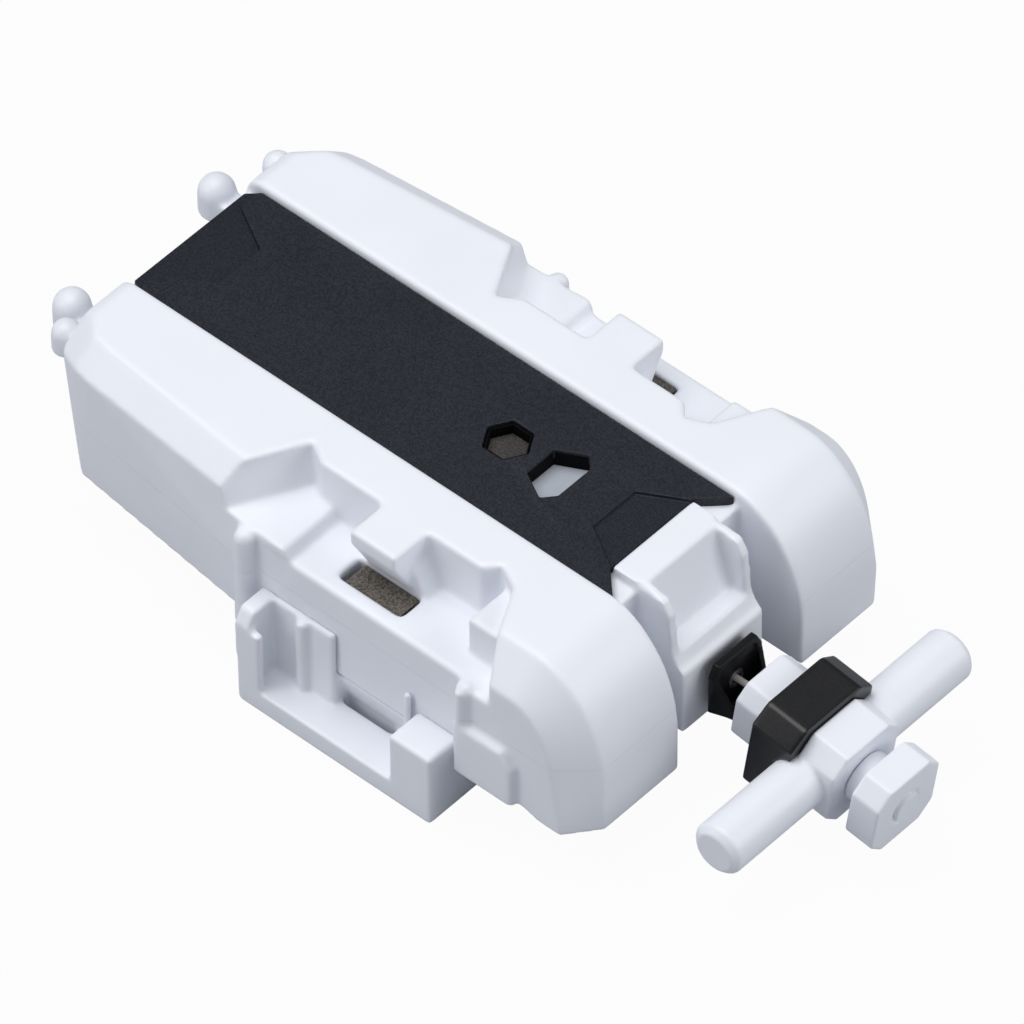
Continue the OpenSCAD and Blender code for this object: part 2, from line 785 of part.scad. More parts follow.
module hollow_case() {
    difference() {
        case_form();
        cavity();
        both_sides() slot_cut();
        translate([0, 0, outlet_z]) rotate([0, 90, 0]) cylinder(r = outlet_bore_r, h = nose_x);
    }
}

module case_bosses(low, high, r) {
    for (p = case_screw_places) both_sides()
        translate([p[0], -p[1], low]) cylinder(r = r, h = min(high, p[2]) - low, $fn = 32);
}

// Upper case: crown, flanks, bay floor and upper half of the block
module upper_case() {
    color("white") difference() {
        union() {
            intersection() {
                hollow_case();
                translate([-reach * 2, -reach, seam_z]) cube([reach * 4, 2 * reach, reach]);
            }
            case_bosses(seam_z, crown_z, boss_r);
        }
        case_bosses(seam_z - over, seam_z + screw_l - seam_h + screw_head_t + over, screw_bore_r);
        translate([0, 0, ceiling_z - over]) cylinder(r = window_r - wall / 8, h = bay_floor_t + 2 * over, $fn = 6);
    }
}

// Lower case: floor, lower flanks and the lower half of the block with the string outlet
module lower_case() {
    color("white") difference() {
        union() {
            intersection() {
                hollow_case();
                translate([-reach * 2, -reach, 0]) cube([reach * 4, 2 * reach, seam_z]);
            }
            case_bosses(foot_z + floor_t / 2, seam_z, boss_r);
            for (p = plate_screw_places) both_sides()
                translate([p[0], -p[1], floor_z - over]) cylinder(r = plate_post_r, h = plate_z - floor_z + over, $fn = 32);
        }
        case_bosses(foot_z - nose_sill_t - over, seam_z + over, screw_bore_r);
        case_bosses(foot_z - nose_sill_t - over, foot_z + screw_head_t + fit_gap, screw_head_r + screw_play);
        for (p = plate_screw_places) both_sides()
            translate([p[0], -p[1], plate_z - plate_screw_l]) cylinder(r = plate_screw_r, h = plate_screw_l + over, $fn = 32);
        translate([0, 0, foot_z - over]) cylinder(r = bush_r + fit_gap, h = floor_t + 2 * over);
        translate([-reel_x, 0, foot_z - over]) cylinder(r = post_r + fit_gap, h = floor_t + 2 * over);
        for (x = [-hub_screw_x, hub_screw_x]) both_sides()
            translate([x, -hub_screw_y, foot_z - over]) cylinder(r = screw_bore_r, h = floor_t + over + wall, $fn = 32);
        // the tube's flange seats behind the block
        translate([tube_rear_x - over, 0, outlet_z]) rotate([0, 90, 0])
            cylinder(r = tube_flange_r + fit_gap, h = tube_flange_t + over + fit_gap);
    }
}

// Hub base: the round claw well under the shell and a grip rail on each side
module hub_base() {
    color("white") difference() {
        union() {
            hub_block();
            both_sides() grip_rail();
        }
        translate([0, 0, -over]) cylinder(r = well_r, h = hub_h - hub_top_t + over);
        both_sides() rail_niche();
        translate([0, 0, bush_low_z - over]) cylinder(r = bush_r + fit_gap, h = hub_top_t + 2 * over);
        for (x = [-hub_screw_x, hub_screw_x]) both_sides() translate([x, -hub_screw_y, 0]) {
            translate([0, 0, -over]) cylinder(r = screw_bore_r, h = hub_h + 2 * over, $fn = 32);
            translate([0, 0, -over]) cylinder(r = screw_head_r + screw_play, h = hub_h - hub_top_t + fit_gap, $fn = 32);
        }
    }
}

module hub_block() {
    difference() {
        translate([-hub_x, -flank_y, 0]) cube([hub_x + hub_front_x, 2 * flank_y, hub_h]);
        // the hub is open below, with a ring wall round the claw well
        both_sides() difference() {
            translate([-hub_x + hub_wall, -flank_y + hub_side_wall, -over])
                cube([hub_x + hub_front_x - 2 * hub_wall, flank_y - hub_side_wall - hub_wall, hub_h - hub_top_t + over]);
            translate([0, 0, -2 * over]) cylinder(r = well_r + hub_wall, h = 2 * hub_h);
            for (x = [-hub_screw_x, hub_screw_x])
                translate([x, -hub_screw_y, -2 * over]) cylinder(r = screw_head_r + hub_wall, h = 2 * hub_h, $fn = 32);
        }
    }
}

rail_rear_t = 2.1;
rail_rear_x = 16.3;
rail_front_x = 11.7;
rail_lip_x = 1.9;
rail_lean = 0.7;
rail_lip_t = 1.4;
rail_lip_h = 5.5;
rail_chamfer = 2.4;
rail_back_t = 1;
rail_back_x = 3.1;
rail_rib_x = 8.9;
rail_pin_x = 10.3;
rail_pin_h = 7.1;
rail_pin_r = 0.6;
rail_rib_r = 0.9;
rail_slot_l = 9.5;
rail_slot_w = 1.4;
hub_side_wall = 4;
rail_niche_d = 1.9;

// The side wall leans in behind the tray, down to a slot in the tray's floor
module rail_niche() {
    translate([-rail_back_x, 0, 0]) rotate([90, 0, 90]) linear_extrude(rail_back_x + rail_front_x) polygon([
        [-flank_y - slab, rail_floor_t],
        [-flank_y + rail_niche_d, rail_floor_t],
        [-flank_y, hub_h],
        [-flank_y - slab, hub_h + slab]
    ]);
    translate([-rail_back_x, -flank_y + rail_niche_d - rail_slot_w, -over])
        cube([rail_slot_l, rail_slot_w, rail_floor_t + 2 * over]);
}

module grip_rail() {
    difference() {
        union() {
            // floor and front cheek
            translate([-rail_rear_x, -rail_y, 0]) cube([rail_rear_x + hub_front_x, rail_y - flank_y, rail_floor_t]);
            translate([rail_front_x, -rail_y, 0]) cube([hub_front_x - rail_front_x, rail_y - flank_y, foot_z + rail_low_h]);
            // rear cheek with its bevelled shoulder and the lip that turns in
            intersection() {
                xz_slab(-flank_y, rail_y - flank_y, [
                    [-rail_rear_x, 0],
                    [-rail_rear_x - rail_lean, foot_z + rail_top_h],
                    [-rail_rear_x + rail_rear_t + rail_lip_x, foot_z + rail_top_h],
                    [-rail_rear_x + rail_rear_t + rail_lip_x, 0]
                ]);
                translate([0, -rail_y, 0]) rotate([90, 0, 90]) linear_extrude(2 * reach, center = true) polygon([
                    [0, 0],
                    [0, foot_z + rail_top_h - rail_chamfer],
                    [rail_chamfer * 0.6, foot_z + rail_top_h],
                    [rail_y, foot_z + rail_top_h],
                    [rail_y, 0]
                ]);
            }
            // back plate that stands against the flank
            translate([-rail_rear_x, -flank_y - rail_back_t, 0])
                cube([rail_rear_x - rail_back_x, rail_back_t, foot_z + rail_top_h]);
        }
        // the tray that the grip's tongue slides into
        translate([-rail_rear_x + rail_rear_t, -rail_y + rail_lip_t, rail_floor_t])
            cube([rail_lip_x + over, rail_y - flank_y - rail_lip_t - rail_back_t, 2 * hub_h]);
        translate([-rail_rear_x + rail_rear_t, -rail_y - over, foot_z + rail_lip_h])
            cube([rail_lip_x + over, rail_lip_t + 2 * over, hub_h]);
    }
    translate([-rail_rib_x, -flank_y - rail_back_t, rail_floor_t - over])
        cylinder(r = rail_rib_r, h = foot_z + rail_top_h - rail_floor_t - rail_back_t, $fn = 24);
    translate([rail_pin_x, -flank_y - rail_pin_r - fit_gap, rail_floor_t - over])
        cylinder(r = rail_pin_r, h = foot_z + rail_pin_h - rail_floor_t, $fn = 24);
}

// Panel: a thin cover with a hexagonal and a shield-shaped window and two recesses
module panel_plan() {
    polygon([
        [-panel_rear_x, -panel_rear_y],
        [-panel_rear_x + panel_corner_l, -panel_half],
        [panel_horn_x, -panel_half],
        [panel_front_x, -panel_front_y + panel_gap],
        [panel_front_x, panel_front_y - panel_gap],
        [panel_horn_x, panel_half],
        [-panel_rear_x + panel_corner_l, panel_half],
        [-panel_rear_x, panel_rear_y]
    ]);
}

module top_panel() {
    color([0.17, 0.18, 0.21]) difference() {
        translate([0, 0, bay_z + fit_gap]) linear_extrude(panel_t - fit_gap) panel_plan();
        translate([0, 0, bay_z - over]) cylinder(r = window_r, h = panel_t + 2 * over, $fn = 6);
        translate([0, 0, bay_z - over]) linear_extrude(panel_t + 2 * over) polygon([
            [shield_rear_x, -shield_rear_y],
            [shield_wide_x, -shield_wide_y],
            [shield_front_x, -shield_front_y],
            [shield_front_x, shield_front_y],
            [shield_wide_x, shield_wide_y],
            [shield_rear_x, shield_rear_y]
        ]);
        translate([0, 0, panel_z - recess_d]) linear_extrude(panel_t) polygon([
            [-rear_recess_x, -recess_y],
            [-panel_rear_x - over, -rear_recess_y],
            [-panel_rear_x - over, rear_recess_y],
            [-rear_recess_x, recess_y]
        ]);
        translate([0, 0, panel_z - recess_d]) linear_extrude(panel_t) polygon([
            [front_recess_x, -recess_y],
            [panel_front_x + over, -panel_front_y + panel_gap],
            [panel_front_x + over, panel_front_y - panel_gap],
            [front_recess_x, recess_y]
        ]);
        // the rear edge slopes down
        xz_slab(reach, 2 * reach, [
            [-panel_rear_x + panel_slope_l, panel_z],
            [-panel_rear_x - over, panel_z - panel_slope_d],
            [-panel_rear_x - over, panel_z + over],
            [-panel_rear_x + panel_slope_l, panel_z + over]
        ]);
    }
}

// Bumper: a rubber cup whose lower lip reaches further forward
module string_bumper() {
    color([0.08, 0.08, 0.09]) difference() {
        union() {
            translate([bumper_rear_x, 0, outlet_z]) rotate([90, 0, 90])
                linear_extrude(bumper_lip_x - bumper_rear_x) bumper_outline(0);
            translate([block_x + fit_gap, 0, outlet_z]) rotate([0, 90, 0])
                cylinder(r = bumper_neck_r, h = bumper_rear_x - block_x);
        }
        translate([bumper_rear_x + cup_floor_t, 0, outlet_z]) rotate([90, 0, 90])
            linear_extrude(nose_x) bumper_outline(bumper_wall);
        xz_slab(reach, 2 * reach, [
            [bumper_top_x, outlet_z + bumper_h],
            [bumper_top_x, outlet_z + bumper_h / 4],
            [bumper_lip_x + slab, outlet_z - bumper_h / 4],
            [bumper_lip_x + reach, outlet_z - bumper_h / 4],
            [bumper_lip_x + reach, outlet_z + bumper_h]
        ]);
        translate([block_x - over, 0, outlet_z]) rotate([0, 90, 0])
            cylinder(r = tube_r + fit_gap, h = bumper_rear_x - block_x + cup_floor_t + 2 * over);
    }
}

module bumper_outline(t) {
    polygon([
        [-bumper_y + t, -bumper_h / 2 + bumper_chamfer + t / 2],
        [-bumper_y + bumper_chamfer + t / 2, -bumper_h / 2 + t],
        [bumper_y - bumper_chamfer - t / 2, -bumper_h / 2 + t],
        [bumper_y - t, -bumper_h / 2 + bumper_chamfer + t / 2],
        [bumper_y - t, bumper_h / 2 - bumper_chamfer - t / 2],
        [bumper_y - bumper_chamfer / 2 - t / 2, bumper_h / 2 - t],
        [-bumper_y + bumper_chamfer / 2 + t / 2, bumper_h / 2 - t],
        [-bumper_y + t, bumper_h / 2 - bumper_chamfer - t / 2]
    ]);
}

// String tube: the metal sleeve that the string runs through
module string_tube() {
    color("silver") translate([tube_rear_x, 0, outlet_z]) rotate([0, 90, 0]) difference() {
        union() {
            cylinder(r = tube_r, h = tube_front_x - tube_rear_x);
            cylinder(r = tube_flange_r, h = tube_flange_t);
        }
        translate([0, 0, -over]) cylinder(r = tube_bore_r, h = tube_front_x - tube_rear_x + 2 * over);
    }
}

// Mechanism plate: carries the upper ends of the post and the launch shaft
module mechanism_plate() {
    color([0.6, 0.62, 0.64]) difference() {
        translate([0, 0, plate_z]) linear_extrude(plate_t) polygon([
            [-plate_rear_x - plate_post_r, -plate_rear_y - plate_post_r],
            [-reel_x - plate_post_r, -plate_rear_y - plate_post_r],
            [-plate_front_x - boss_r * 4, -plate_front_y - plate_post_r / 2],
            [plate_front_x, -plate_front_y - plate_post_r / 2],
            [plate_front_x, plate_front_y + plate_post_r / 2],
            [-plate_front_x - boss_r * 4, plate_front_y + plate_post_r / 2],
            [-reel_x - plate_post_r, plate_rear_y + plate_post_r],
            [-plate_rear_x - plate_post_r, plate_rear_y + plate_post_r]
        ]);
        translate([0, 0, plate_z - over]) cylinder(r = bush_r + fit_gap, h = plate_t + 2 * over);
        translate([-reel_x, 0, plate_z - over]) cylinder(r = post_r + fit_gap, h = plate_t + 2 * over);
        for (p = plate_screw_places) both_sides()
            translate([p[0], -p[1], plate_z - over]) cylinder(r = plate_screw_r + screw_play, h = plate_t + 2 * over, $fn = 32);
    }
}

module reel_post() {
    color("silver") translate([-reel_x, 0, foot_z]) cylinder(r = post_r, h = plate_top_z - foot_z);
}

// Spring arbor: the slotted sleeve that holds the mainspring's inner end
module spring_arbor() {
    color([0.3, 0.3, 0.32]) translate([-reel_x, 0, spring_low_z]) difference() {
        cylinder(r = arbor_r, h = spring_top_z - spring_low_z);
        translate([0, 0, -over]) cylinder(r = post_r + fit_gap, h = reach);
        translate([0, -arbor_slot_w / 2, -over]) cube([2 * arbor_r, arbor_slot_w, reach]);
    }
}

// Mainspring: a flat steel strip wound in a spiral
function strip_point(i, outward) =
    let (
        a = i * 360 / strip_steps,
        share = i / (strip_turns * strip_steps),
        r = strip_in_r + (strip_out_r - strip_in_r) * share + outward
    )
    [r * cos(a), r * sin(a)];

module mainspring() {
    color([0.45, 0.46, 0.5]) translate([-reel_x, 0, spring_low_z]) linear_extrude(spring_top_z - spring_low_z) polygon(concat(
        [for (i = [0:strip_turns * strip_steps]) strip_point(i, 0)],
        [for (i = [strip_turns * strip_steps:-1:0]) strip_point(i, strip_t)]
    ));
}

module bush(low, high, flange) {
    color([0.72, 0.6, 0.35]) difference() {
        translate([0, 0, low]) cylinder(r = bush_r, h = high - low);
        translate([0, 0, low - over]) cylinder(r = shaft_r + run_gap, h = high - low + 2 * over);
    }
}

module lower_bush() {
    bush(bush_low_z, floor_z);
}

module upper_bush() {
    bush(plate_z, plate_top_z);
}

// Latch springs: bent steel strips in the wells under the two slots
strip_w = 9.6;
latch_t = 0.4;

module latch_springs() {
    color([0.5, 0.46, 0.4]) both_sides()
        translate([-slot_rear_x + (slot_l - strip_w) / 2, 0, 0]) rotate([90, 0, 90]) linear_extrude(strip_w) polygon([
            [-slot_out_y + fit_gap, shelf_z - slot_depth + fit_gap],
            [-slot_in_y - fit_gap, shelf_z - slot_depth + fit_gap],
            [-slot_in_y - fit_gap, shelf_z - slot_depth / 3],
            [-slot_in_y - latch_t, shelf_z - slot_depth / 3],
            [-slot_in_y - latch_t, shelf_z - slot_depth + latch_t],
            [-slot_out_y + latch_t * 2, shelf_z - slot_depth + latch_t],
            [-slot_out_y + latch_t * 4, shelf_z - slot_depth * 0.66],
            [-slot_out_y + latch_t * 3, shelf_z - slot_depth * 0.64],
            [-slot_out_y + fit_gap, shelf_z - slot_depth + latch_t]
        ]);
}

module screw(r, l, head_r, head_t) {
    cylinder(r = r, h = l, $fn = 32);
    difference() {
        cylinder(r = head_r, h = head_t, $fn = 32);
        for (a = [0, 90]) rotate([0, 0, a]) translate([0, 0, 0])
            cube([head_r * 1.3, head_r * 0.3, head_t], center = true);
    }
}

module case_screws() {
    color("silver") for (p = case_screw_places) both_sides()
        translate([p[0], -p[1], foot_z]) screw(screw_r, screw_l, screw_head_r, screw_head_t);
}

module hub_screws() {
    color("silver") for (x = [-hub_screw_x, hub_screw_x]) both_sides()
        translate([x, -hub_screw_y, hub_h - hub_top_t - screw_head_t - over])
            screw(screw_r, hub_top_t + screw_head_t + over + floor_t, screw_head_r, screw_head_t);
}

module plate_screws() {
    color("silver") for (p = plate_screw_places) both_sides()
        translate([p[0], -p[1], plate_top_z + screw_head_t / 2]) mirror([0, 0, 1])
            screw(plate_screw_r - fit_gap, plate_screw_l, plate_post_r * 0.8, screw_head_t / 2);
}

// The string leaves the drum over the wound layer and runs straight to the tube
leave_r = drum_r + 1.5 * string_d + seat_gap;
leave_a = acos(leave_r / (reel_x + tube_rear_x + string_d));

module string_span(from, to) {
    run = to - from;
    translate([from[0], from[1], from[2]]) rotate([0, 90, 0]) rotate([-atan2(run[1], run[0]), 0, 0])
        cylinder(r = string_d / 2, h = norm(run), $fn = 24);
}

module string_run() {
    color([0.9, 0.9, 0.86]) {
        string_span([leave_r * cos(leave_a) - reel_x, leave_r * sin(leave_a), outlet_z], [tube_rear_x + string_d, 0, outlet_z]);
        string_span([tube_rear_x + string_d / 2, 0, outlet_z], [block_x, 0, outlet_z]);
    }
}

// Reel: drum, lower flange and gear in one moulding
module string_reel() {
    color([0.85, 0.55, 0.2]) translate([-reel_x, 0, 0]) difference() {
        union() {
            translate([0, 0, reel_low_z]) cylinder(r = flange_r, h = flange_t);
            translate([0, 0, reel_low_z]) cylinder(r = drum_r, h = reel_top_z - reel_low_z);
            translate([0, 0, gear_low_z]) linear_extrude(gear_t)
                polygon(gear_points(reel_teeth, gear_m * 0.95, gear_m * 1.25));
        }
        translate([0, 0, winding_low_z]) cylinder(r = drum_bore_r, h = reach);
        translate([0, 0, reel_low_z - over]) cylinder(r = post_r + run_gap, h = flange_t + 2 * over);
    }
}

module spring_cover() {
    color([0.75, 0.5, 0.2]) translate([-reel_x, 0, reel_top_z - cover_t]) difference() {
        cylinder(r = drum_bore_r - fit_gap, h = cover_t);
        translate([0, 0, -over]) cylinder(r = post_r + run_gap, h = cover_t + 2 * over);
    }
}

// The wound string: one layer of turns side by side
module wound_string() {
    color([0.9, 0.9, 0.86]) translate([-reel_x, 0, winding_low_z + (winding_h - string_turns * string_d) / 2])
        rotate_extrude() for (i = [0:string_turns - 1])
            translate([drum_r + fit_gap + string_d / 2, (i + 0.5) * string_d]) intersection() {
                circle(d = string_d + fit_gap, $fn = 24);
                square([string_d - fit_gap, 2 * string_d], center = true);
            }
}

// Drive gear: turned by the reel, with ratchet teeth inside its rim
module drive_gear() {
    color([0.55, 0.57, 0.6]) difference() {
        translate([0, 0, pinion_low_z]) rotate([0, 0, 180 / pinion_teeth]) linear_extrude(pinion_t)
            polygon(gear_points(pinion_teeth, gear_m * 0.95, gear_m * 1.25));
        translate([0, 0, pinion_low_z - over]) cylinder(r = shaft_r + run_gap, h = pinion_t + 2 * over);
        translate([0, 0, pinion_low_z + pinion_t - ratchet_d]) linear_extrude(ratchet_d + over) polygon(
            [for (i = [0:ratchet_teeth - 1]) let (a = i * 360 / ratchet_teeth) each [
                [ratchet_out_r * cos(a), ratchet_out_r * sin(a)],
                [ratchet_in_r * cos(a + ratchet_back_a), ratchet_in_r * sin(a + ratchet_back_a)],
                [ratchet_mid_r * cos(a + ratchet_rise_a), ratchet_mid_r * sin(a + ratchet_rise_a)]
            ]]
        );
    }
}

// Launch shaft: a tube, so that the sensing pin can pass through
module launch_shaft() {
    color("silver") difference() {
        translate([0, 0, claw_disc_z]) cylinder(r = shaft_r, h = plate_top_z - claw_disc_z);
        translate([0, 0, claw_disc_z - over]) cylinder(r = pin_r + run_gap, h = reach);
    }
}

module shaft_spacer() {
    color([0.3, 0.3, 0.32]) difference() {
        translate([0, 0, floor_z + seat_gap / 2]) cylinder(r = spacer_r, h = pinion_low_z - floor_z - seat_gap);
        translate([0, 0, floor_z - over]) cylinder(r = shaft_r + fit_gap, h = reach);
    }
}

// Pawl ring: three springy arms that catch the drive gear's ratchet teeth one way
module pawl_ring() {
    arm_r = ratchet_in_r - seat_gap;
    color([0.25, 0.25, 0.28]) translate([0, 0, pinion_low_z + pinion_t - ratchet_d + fit_gap]) difference() {
        union() {
            cylinder(r = spacer_r, h = ratchet_d - 2 * fit_gap);
            for (i = [0:hook_count - 1]) rotate([0, 0, i * 360 / hook_count])
                intersection() {
                    cylinder(r = arm_r, h = ratchet_d - 2 * fit_gap);
                    translate([0, spacer_r - ratchet_d, 0]) cube([arm_r, ratchet_d, ratchet_d - 2 * fit_gap]);
                }
        }
        translate([0, 0, -over]) cylinder(r = shaft_r + fit_gap, h = reach);
    }
}

module shaft_clip() {
    color("silver") translate([0, 0, pinion_low_z + pinion_t + seat_gap / 3]) difference() {
        cylinder(r = spacer_r, h = clip_ring_t);
        translate([0, 0, -over]) cylinder(r = shaft_r + fit_gap, h = reach);
        translate([0, -shaft_r / 2, -over]) cube([reach, shaft_r, reach]);
    }
}

// Claw disc: pressed on the shaft, with a seat for each hook
module claw_disc() {
    color([0.8, 0.81, 0.84]) difference() {
        union() {
            translate([0, 0, claw_disc_z]) cylinder(r = claw_r, h = claw_disc_t);
            translate([0, 0, claw_disc_z - claw_boss_t]) cylinder(r = claw_boss_r, h = claw_boss_t + over);
        }
        translate([0, 0, claw_disc_z - over * 3]) cylinder(r = pin_r + seat_gap, h = reach);
        translate([0, 0, claw_disc_z - reach]) cylinder(r = tip_r + seat_gap, h = reach);
        translate([0, 0, claw_disc_z - fit_gap]) cylinder(r = shaft_r + fit_gap, h = reach);
        for (i = [0:hook_count - 1]) rotate([0, 0, i * 360 / hook_count])
            translate([hook_in_r - fit_gap, -hook_w / 2 - fit_gap, claw_disc_z - over])
                cube([reach, hook_w + 2 * fit_gap, claw_disc_t / 2 + over]);
    }
}

// Claw hooks: three prongs that hold the top by its rim
module claw_hooks() {
    color([0.35, 0.36, 0.4]) for (i = [0:hook_count - 1]) rotate([0, 0, i * 360 / hook_count]) intersection() {
        translate([0, hook_w / 2, 0]) rotate([90, 0, 0]) linear_extrude(hook_w) polygon([
            [hook_lip_r, hook_low_z],
            [hook_out_r, hook_low_z],
            [hook_out_r, claw_disc_z + claw_disc_t / 2],
            [hook_in_r, claw_disc_z + claw_disc_t / 2],
            [hook_in_r, hook_low_z + hook_lip_t * 1.4],
            [hook_lip_r, hook_low_z + hook_lip_t]
        ]);
        cylinder(r = claw_r, h = reach);
    }
}

// Sensing pin: a seated top pushes it up until its hexagonal head is flush with the panel
module sensing_pin() {
    color([0.24, 0.25, 0.28]) {
        translate([0, 0, tip_z + tip_t / 2]) cylinder(r = pin_r, h = shoulder_z - tip_z - tip_t / 2 + slab);
        translate([0, 0, shoulder_z]) cylinder(r = shoulder_r, h = shoulder_t);
        translate([0, 0, shoulder_z + shoulder_t - slab]) cylinder(r = neck_r, h = head_top_z - head_t - shoulder_z - shoulder_t + 2 * slab);
        translate([0, 0, head_top_z - head_t]) cylinder(r = head_r, h = head_t, $fn = 6);
    }
}

module pin_tip() {
    color("white") translate([0, 0, tip_z]) difference() {
        cylinder(r = tip_r, h = tip_t);
        translate([0, 0, tip_t / 2]) cylinder(r = pin_r + fit_gap, h = reach);
        translate([0, 0, tip_t / 2 - fit_gap]) cylinder(r = pin_r + fit_gap, h = fit_gap + over);
    }
}

// Pin spring: a coil between the pin's shoulder and the underside of the bay floor
spring_rest_z = shoulder_z + shoulder_t;
spring_rest_h = ceiling_z - spring_rest_z;
coil_rings = coil_turns * coil_steps;

function coil_point(i, k) =
    let (
        a = i * 360 / coil_steps,
        b = k * 360 / coil_sides,
        r = coil_r + coil_wire_r * cos(b),
        rise = coil_wire_r + fit_gap + (spring_rest_h - 2 * (coil_wire_r + fit_gap)) * i / coil_rings
    )
    [r * cos(a), r * sin(a), spring_rest_z + rise + coil_wire_r * sin(b)];

module pin_spring() {
    color("silver") polyhedron(
        points = [for (i = [0:coil_rings]) for (k = [0:coil_sides - 1]) coil_point(i, k)],
        faces = concat(
            [[for (k = [0:coil_sides - 1]) k]],
            [for (i = [0:coil_rings - 1]) for (k = [0:coil_sides - 1])
                let (n = (k + 1) % coil_sides, p = i * coil_sides, q = p + coil_sides)
                each [[p + k, q + k, p + n], [p + n, q + k, q + n]]],
            [[for (k = [coil_sides - 1:-1:0]) coil_rings * coil_sides + k]]
        )
    );
}

// The handle's own frame: its axis runs forward and hangs down by handle_tilt
module handle_frame() {
    translate([bar_x, 0, bar_z]) rotate([0, handle_tilt, 0]) children();
}

// An octagonal length of the handle between two stations
module octagon(from, to, half_y, half_w, flat_share) {
    translate([from, 0, 0]) rotate([90, 0, 90]) linear_extrude(to - from) polygon([
        [-half_y, -half_w * flat_share],
        [-half_y * flat_share, -half_w],
        [half_y * flat_share, -half_w],
        [half_y, -half_w * flat_share],
        [half_y, half_w * flat_share],
        [half_y * flat_share, half_w],
        [-half_y * flat_share, half_w],
        [-half_y, half_w * flat_share]
    ]);
}

corner_share = 0.62;

module along_axis(from, to, r) {
    translate([from, 0, 0]) rotate([0, 90, 0]) cylinder(r = r, h = to - from);
}

// Handle bar: a crossbar with an octagonal hub
module handle_bar() {
    color("white") handle_frame() difference() {
        union() {
            rotate([90, 0, 0]) cylinder(d = bar_d, h = bar_l - 2 * bar_end_r, center = true);
            for (side = [-1, 1]) rotate([side * 90, 0, 0]) translate([0, 0, bar_l / 2 - bar_end_r])
                cylinder(r1 = bar_d / 2, r2 = bar_d / 2 - bar_end_r, h = bar_end_r);
            octagon(-clip_front_u, boss_front_u, boss_y, boss_y, corner_share);
        }
        along_axis(-bar_d / 2 - over, boss_front_u + over, string_bore_r);
        along_axis(boss_front_u - cap_neck_r / 2, boss_front_u + over, cap_neck_r / 2 + fit_gap);
    }
}

// Handle collar: the rear piece, passing through the clip to the hub
module handle_collar() {
    color("white") handle_frame() difference() {
        union() {
            octagon(-collar_rear_u, -clip_rear_u - fit_gap, collar_y, collar_y, corner_share);
            octagon(-clip_rear_u - fit_gap - slab, -clip_front_u - fit_gap, clip_top - clip_wall, clip_top - clip_wall, corner_share);
        }
        along_axis(-collar_rear_u - over, -clip_front_u + over, string_bore_r);
        bar_seat();
    }
}

// The saddle that the bar lies in
module bar_seat() {
    rotate([90, 0, 0]) cylinder(d = bar_d + 2 * fit_gap, h = bar_l, center = true);
}

module clip_outline() {
    polygon([
        [-clip_flat_y, clip_top],
        [clip_flat_y, clip_top],
        [clip_y, clip_side_top],
        [clip_y, -clip_side_low],
        [clip_flat_y + (clip_y - clip_flat_y) / 2, -clip_low],
        [-clip_flat_y - (clip_y - clip_flat_y) / 2, -clip_low],
        [-clip_y, -clip_side_low],
        [-clip_y, clip_side_top]
    ]);
}

// Handle clip: the black band over the collar
module handle_clip() {
    color([0.08, 0.08, 0.09]) handle_frame() difference() {
        translate([-clip_rear_u, 0, 0]) rotate([90, 0, 90]) linear_extrude(clip_rear_u - clip_front_u - fit_gap) clip_outline();
        octagon(-clip_rear_u - over, -clip_front_u + over, clip_top - clip_wall + fit_gap, clip_top - clip_wall + fit_gap, corner_share);
        bar_seat();
    }
}

// Handle cap: closes the hub over the string's knot
module handle_cap() {
    color("white") handle_frame() difference() {
        union() {
            octagon(cap_rear_u, cap_front_u, cap_y, cap_y, corner_share);
            along_axis(boss_front_u + fit_gap, cap_rear_u + slab, cap_neck_r);
            along_axis(boss_front_u - cap_neck_r / 2 + fit_gap, boss_front_u + over, cap_neck_r / 2);
            along_axis(cap_front_u - slab, cap_front_u + button_t, button_r);
        }
        along_axis(boss_front_u - cap_neck_r, cap_rear_u - knot_r * 0.6, string_bore_r);
        translate([cap_rear_u, 0, 0]) sphere(r = knot_r + fit_gap);
    }
}

// The string's own end: from the outlet into the handle, with its knot in the cap
module pull_string() {
    meet_x = bar_x - collar_rear_u * cos(handle_tilt);
    color([0.9, 0.9, 0.86]) {
        string_span([block_x + seat_gap, 0, outlet_z], [meet_x, 0, outlet_z]);
        handle_frame() {
            along_axis(-collar_rear_u - string_d, cap_rear_u, string_d / 2);
            translate([cap_rear_u, 0, 0]) sphere(r = knot_r);
        }
    }
}

upper_case();
lower_case();
hub_base();
top_panel();
string_bumper();
string_tube();
mechanism_plate();
reel_post();
spring_arbor();
mainspring();
lower_bush();
upper_bush();
latch_springs();
case_screws();
hub_screws();
plate_screws();
string_run();
string_reel();
spring_cover();
wound_string();
drive_gear();
launch_shaft();
shaft_spacer();
pawl_ring();
shaft_clip();
claw_disc();
claw_hooks();
sensing_pin();
pin_tip();
pin_spring();
pull_string();
handle_bar();
handle_collar();
handle_clip();
handle_cap();
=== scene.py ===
import math
import bpy
from mathutils import Matrix, Vector


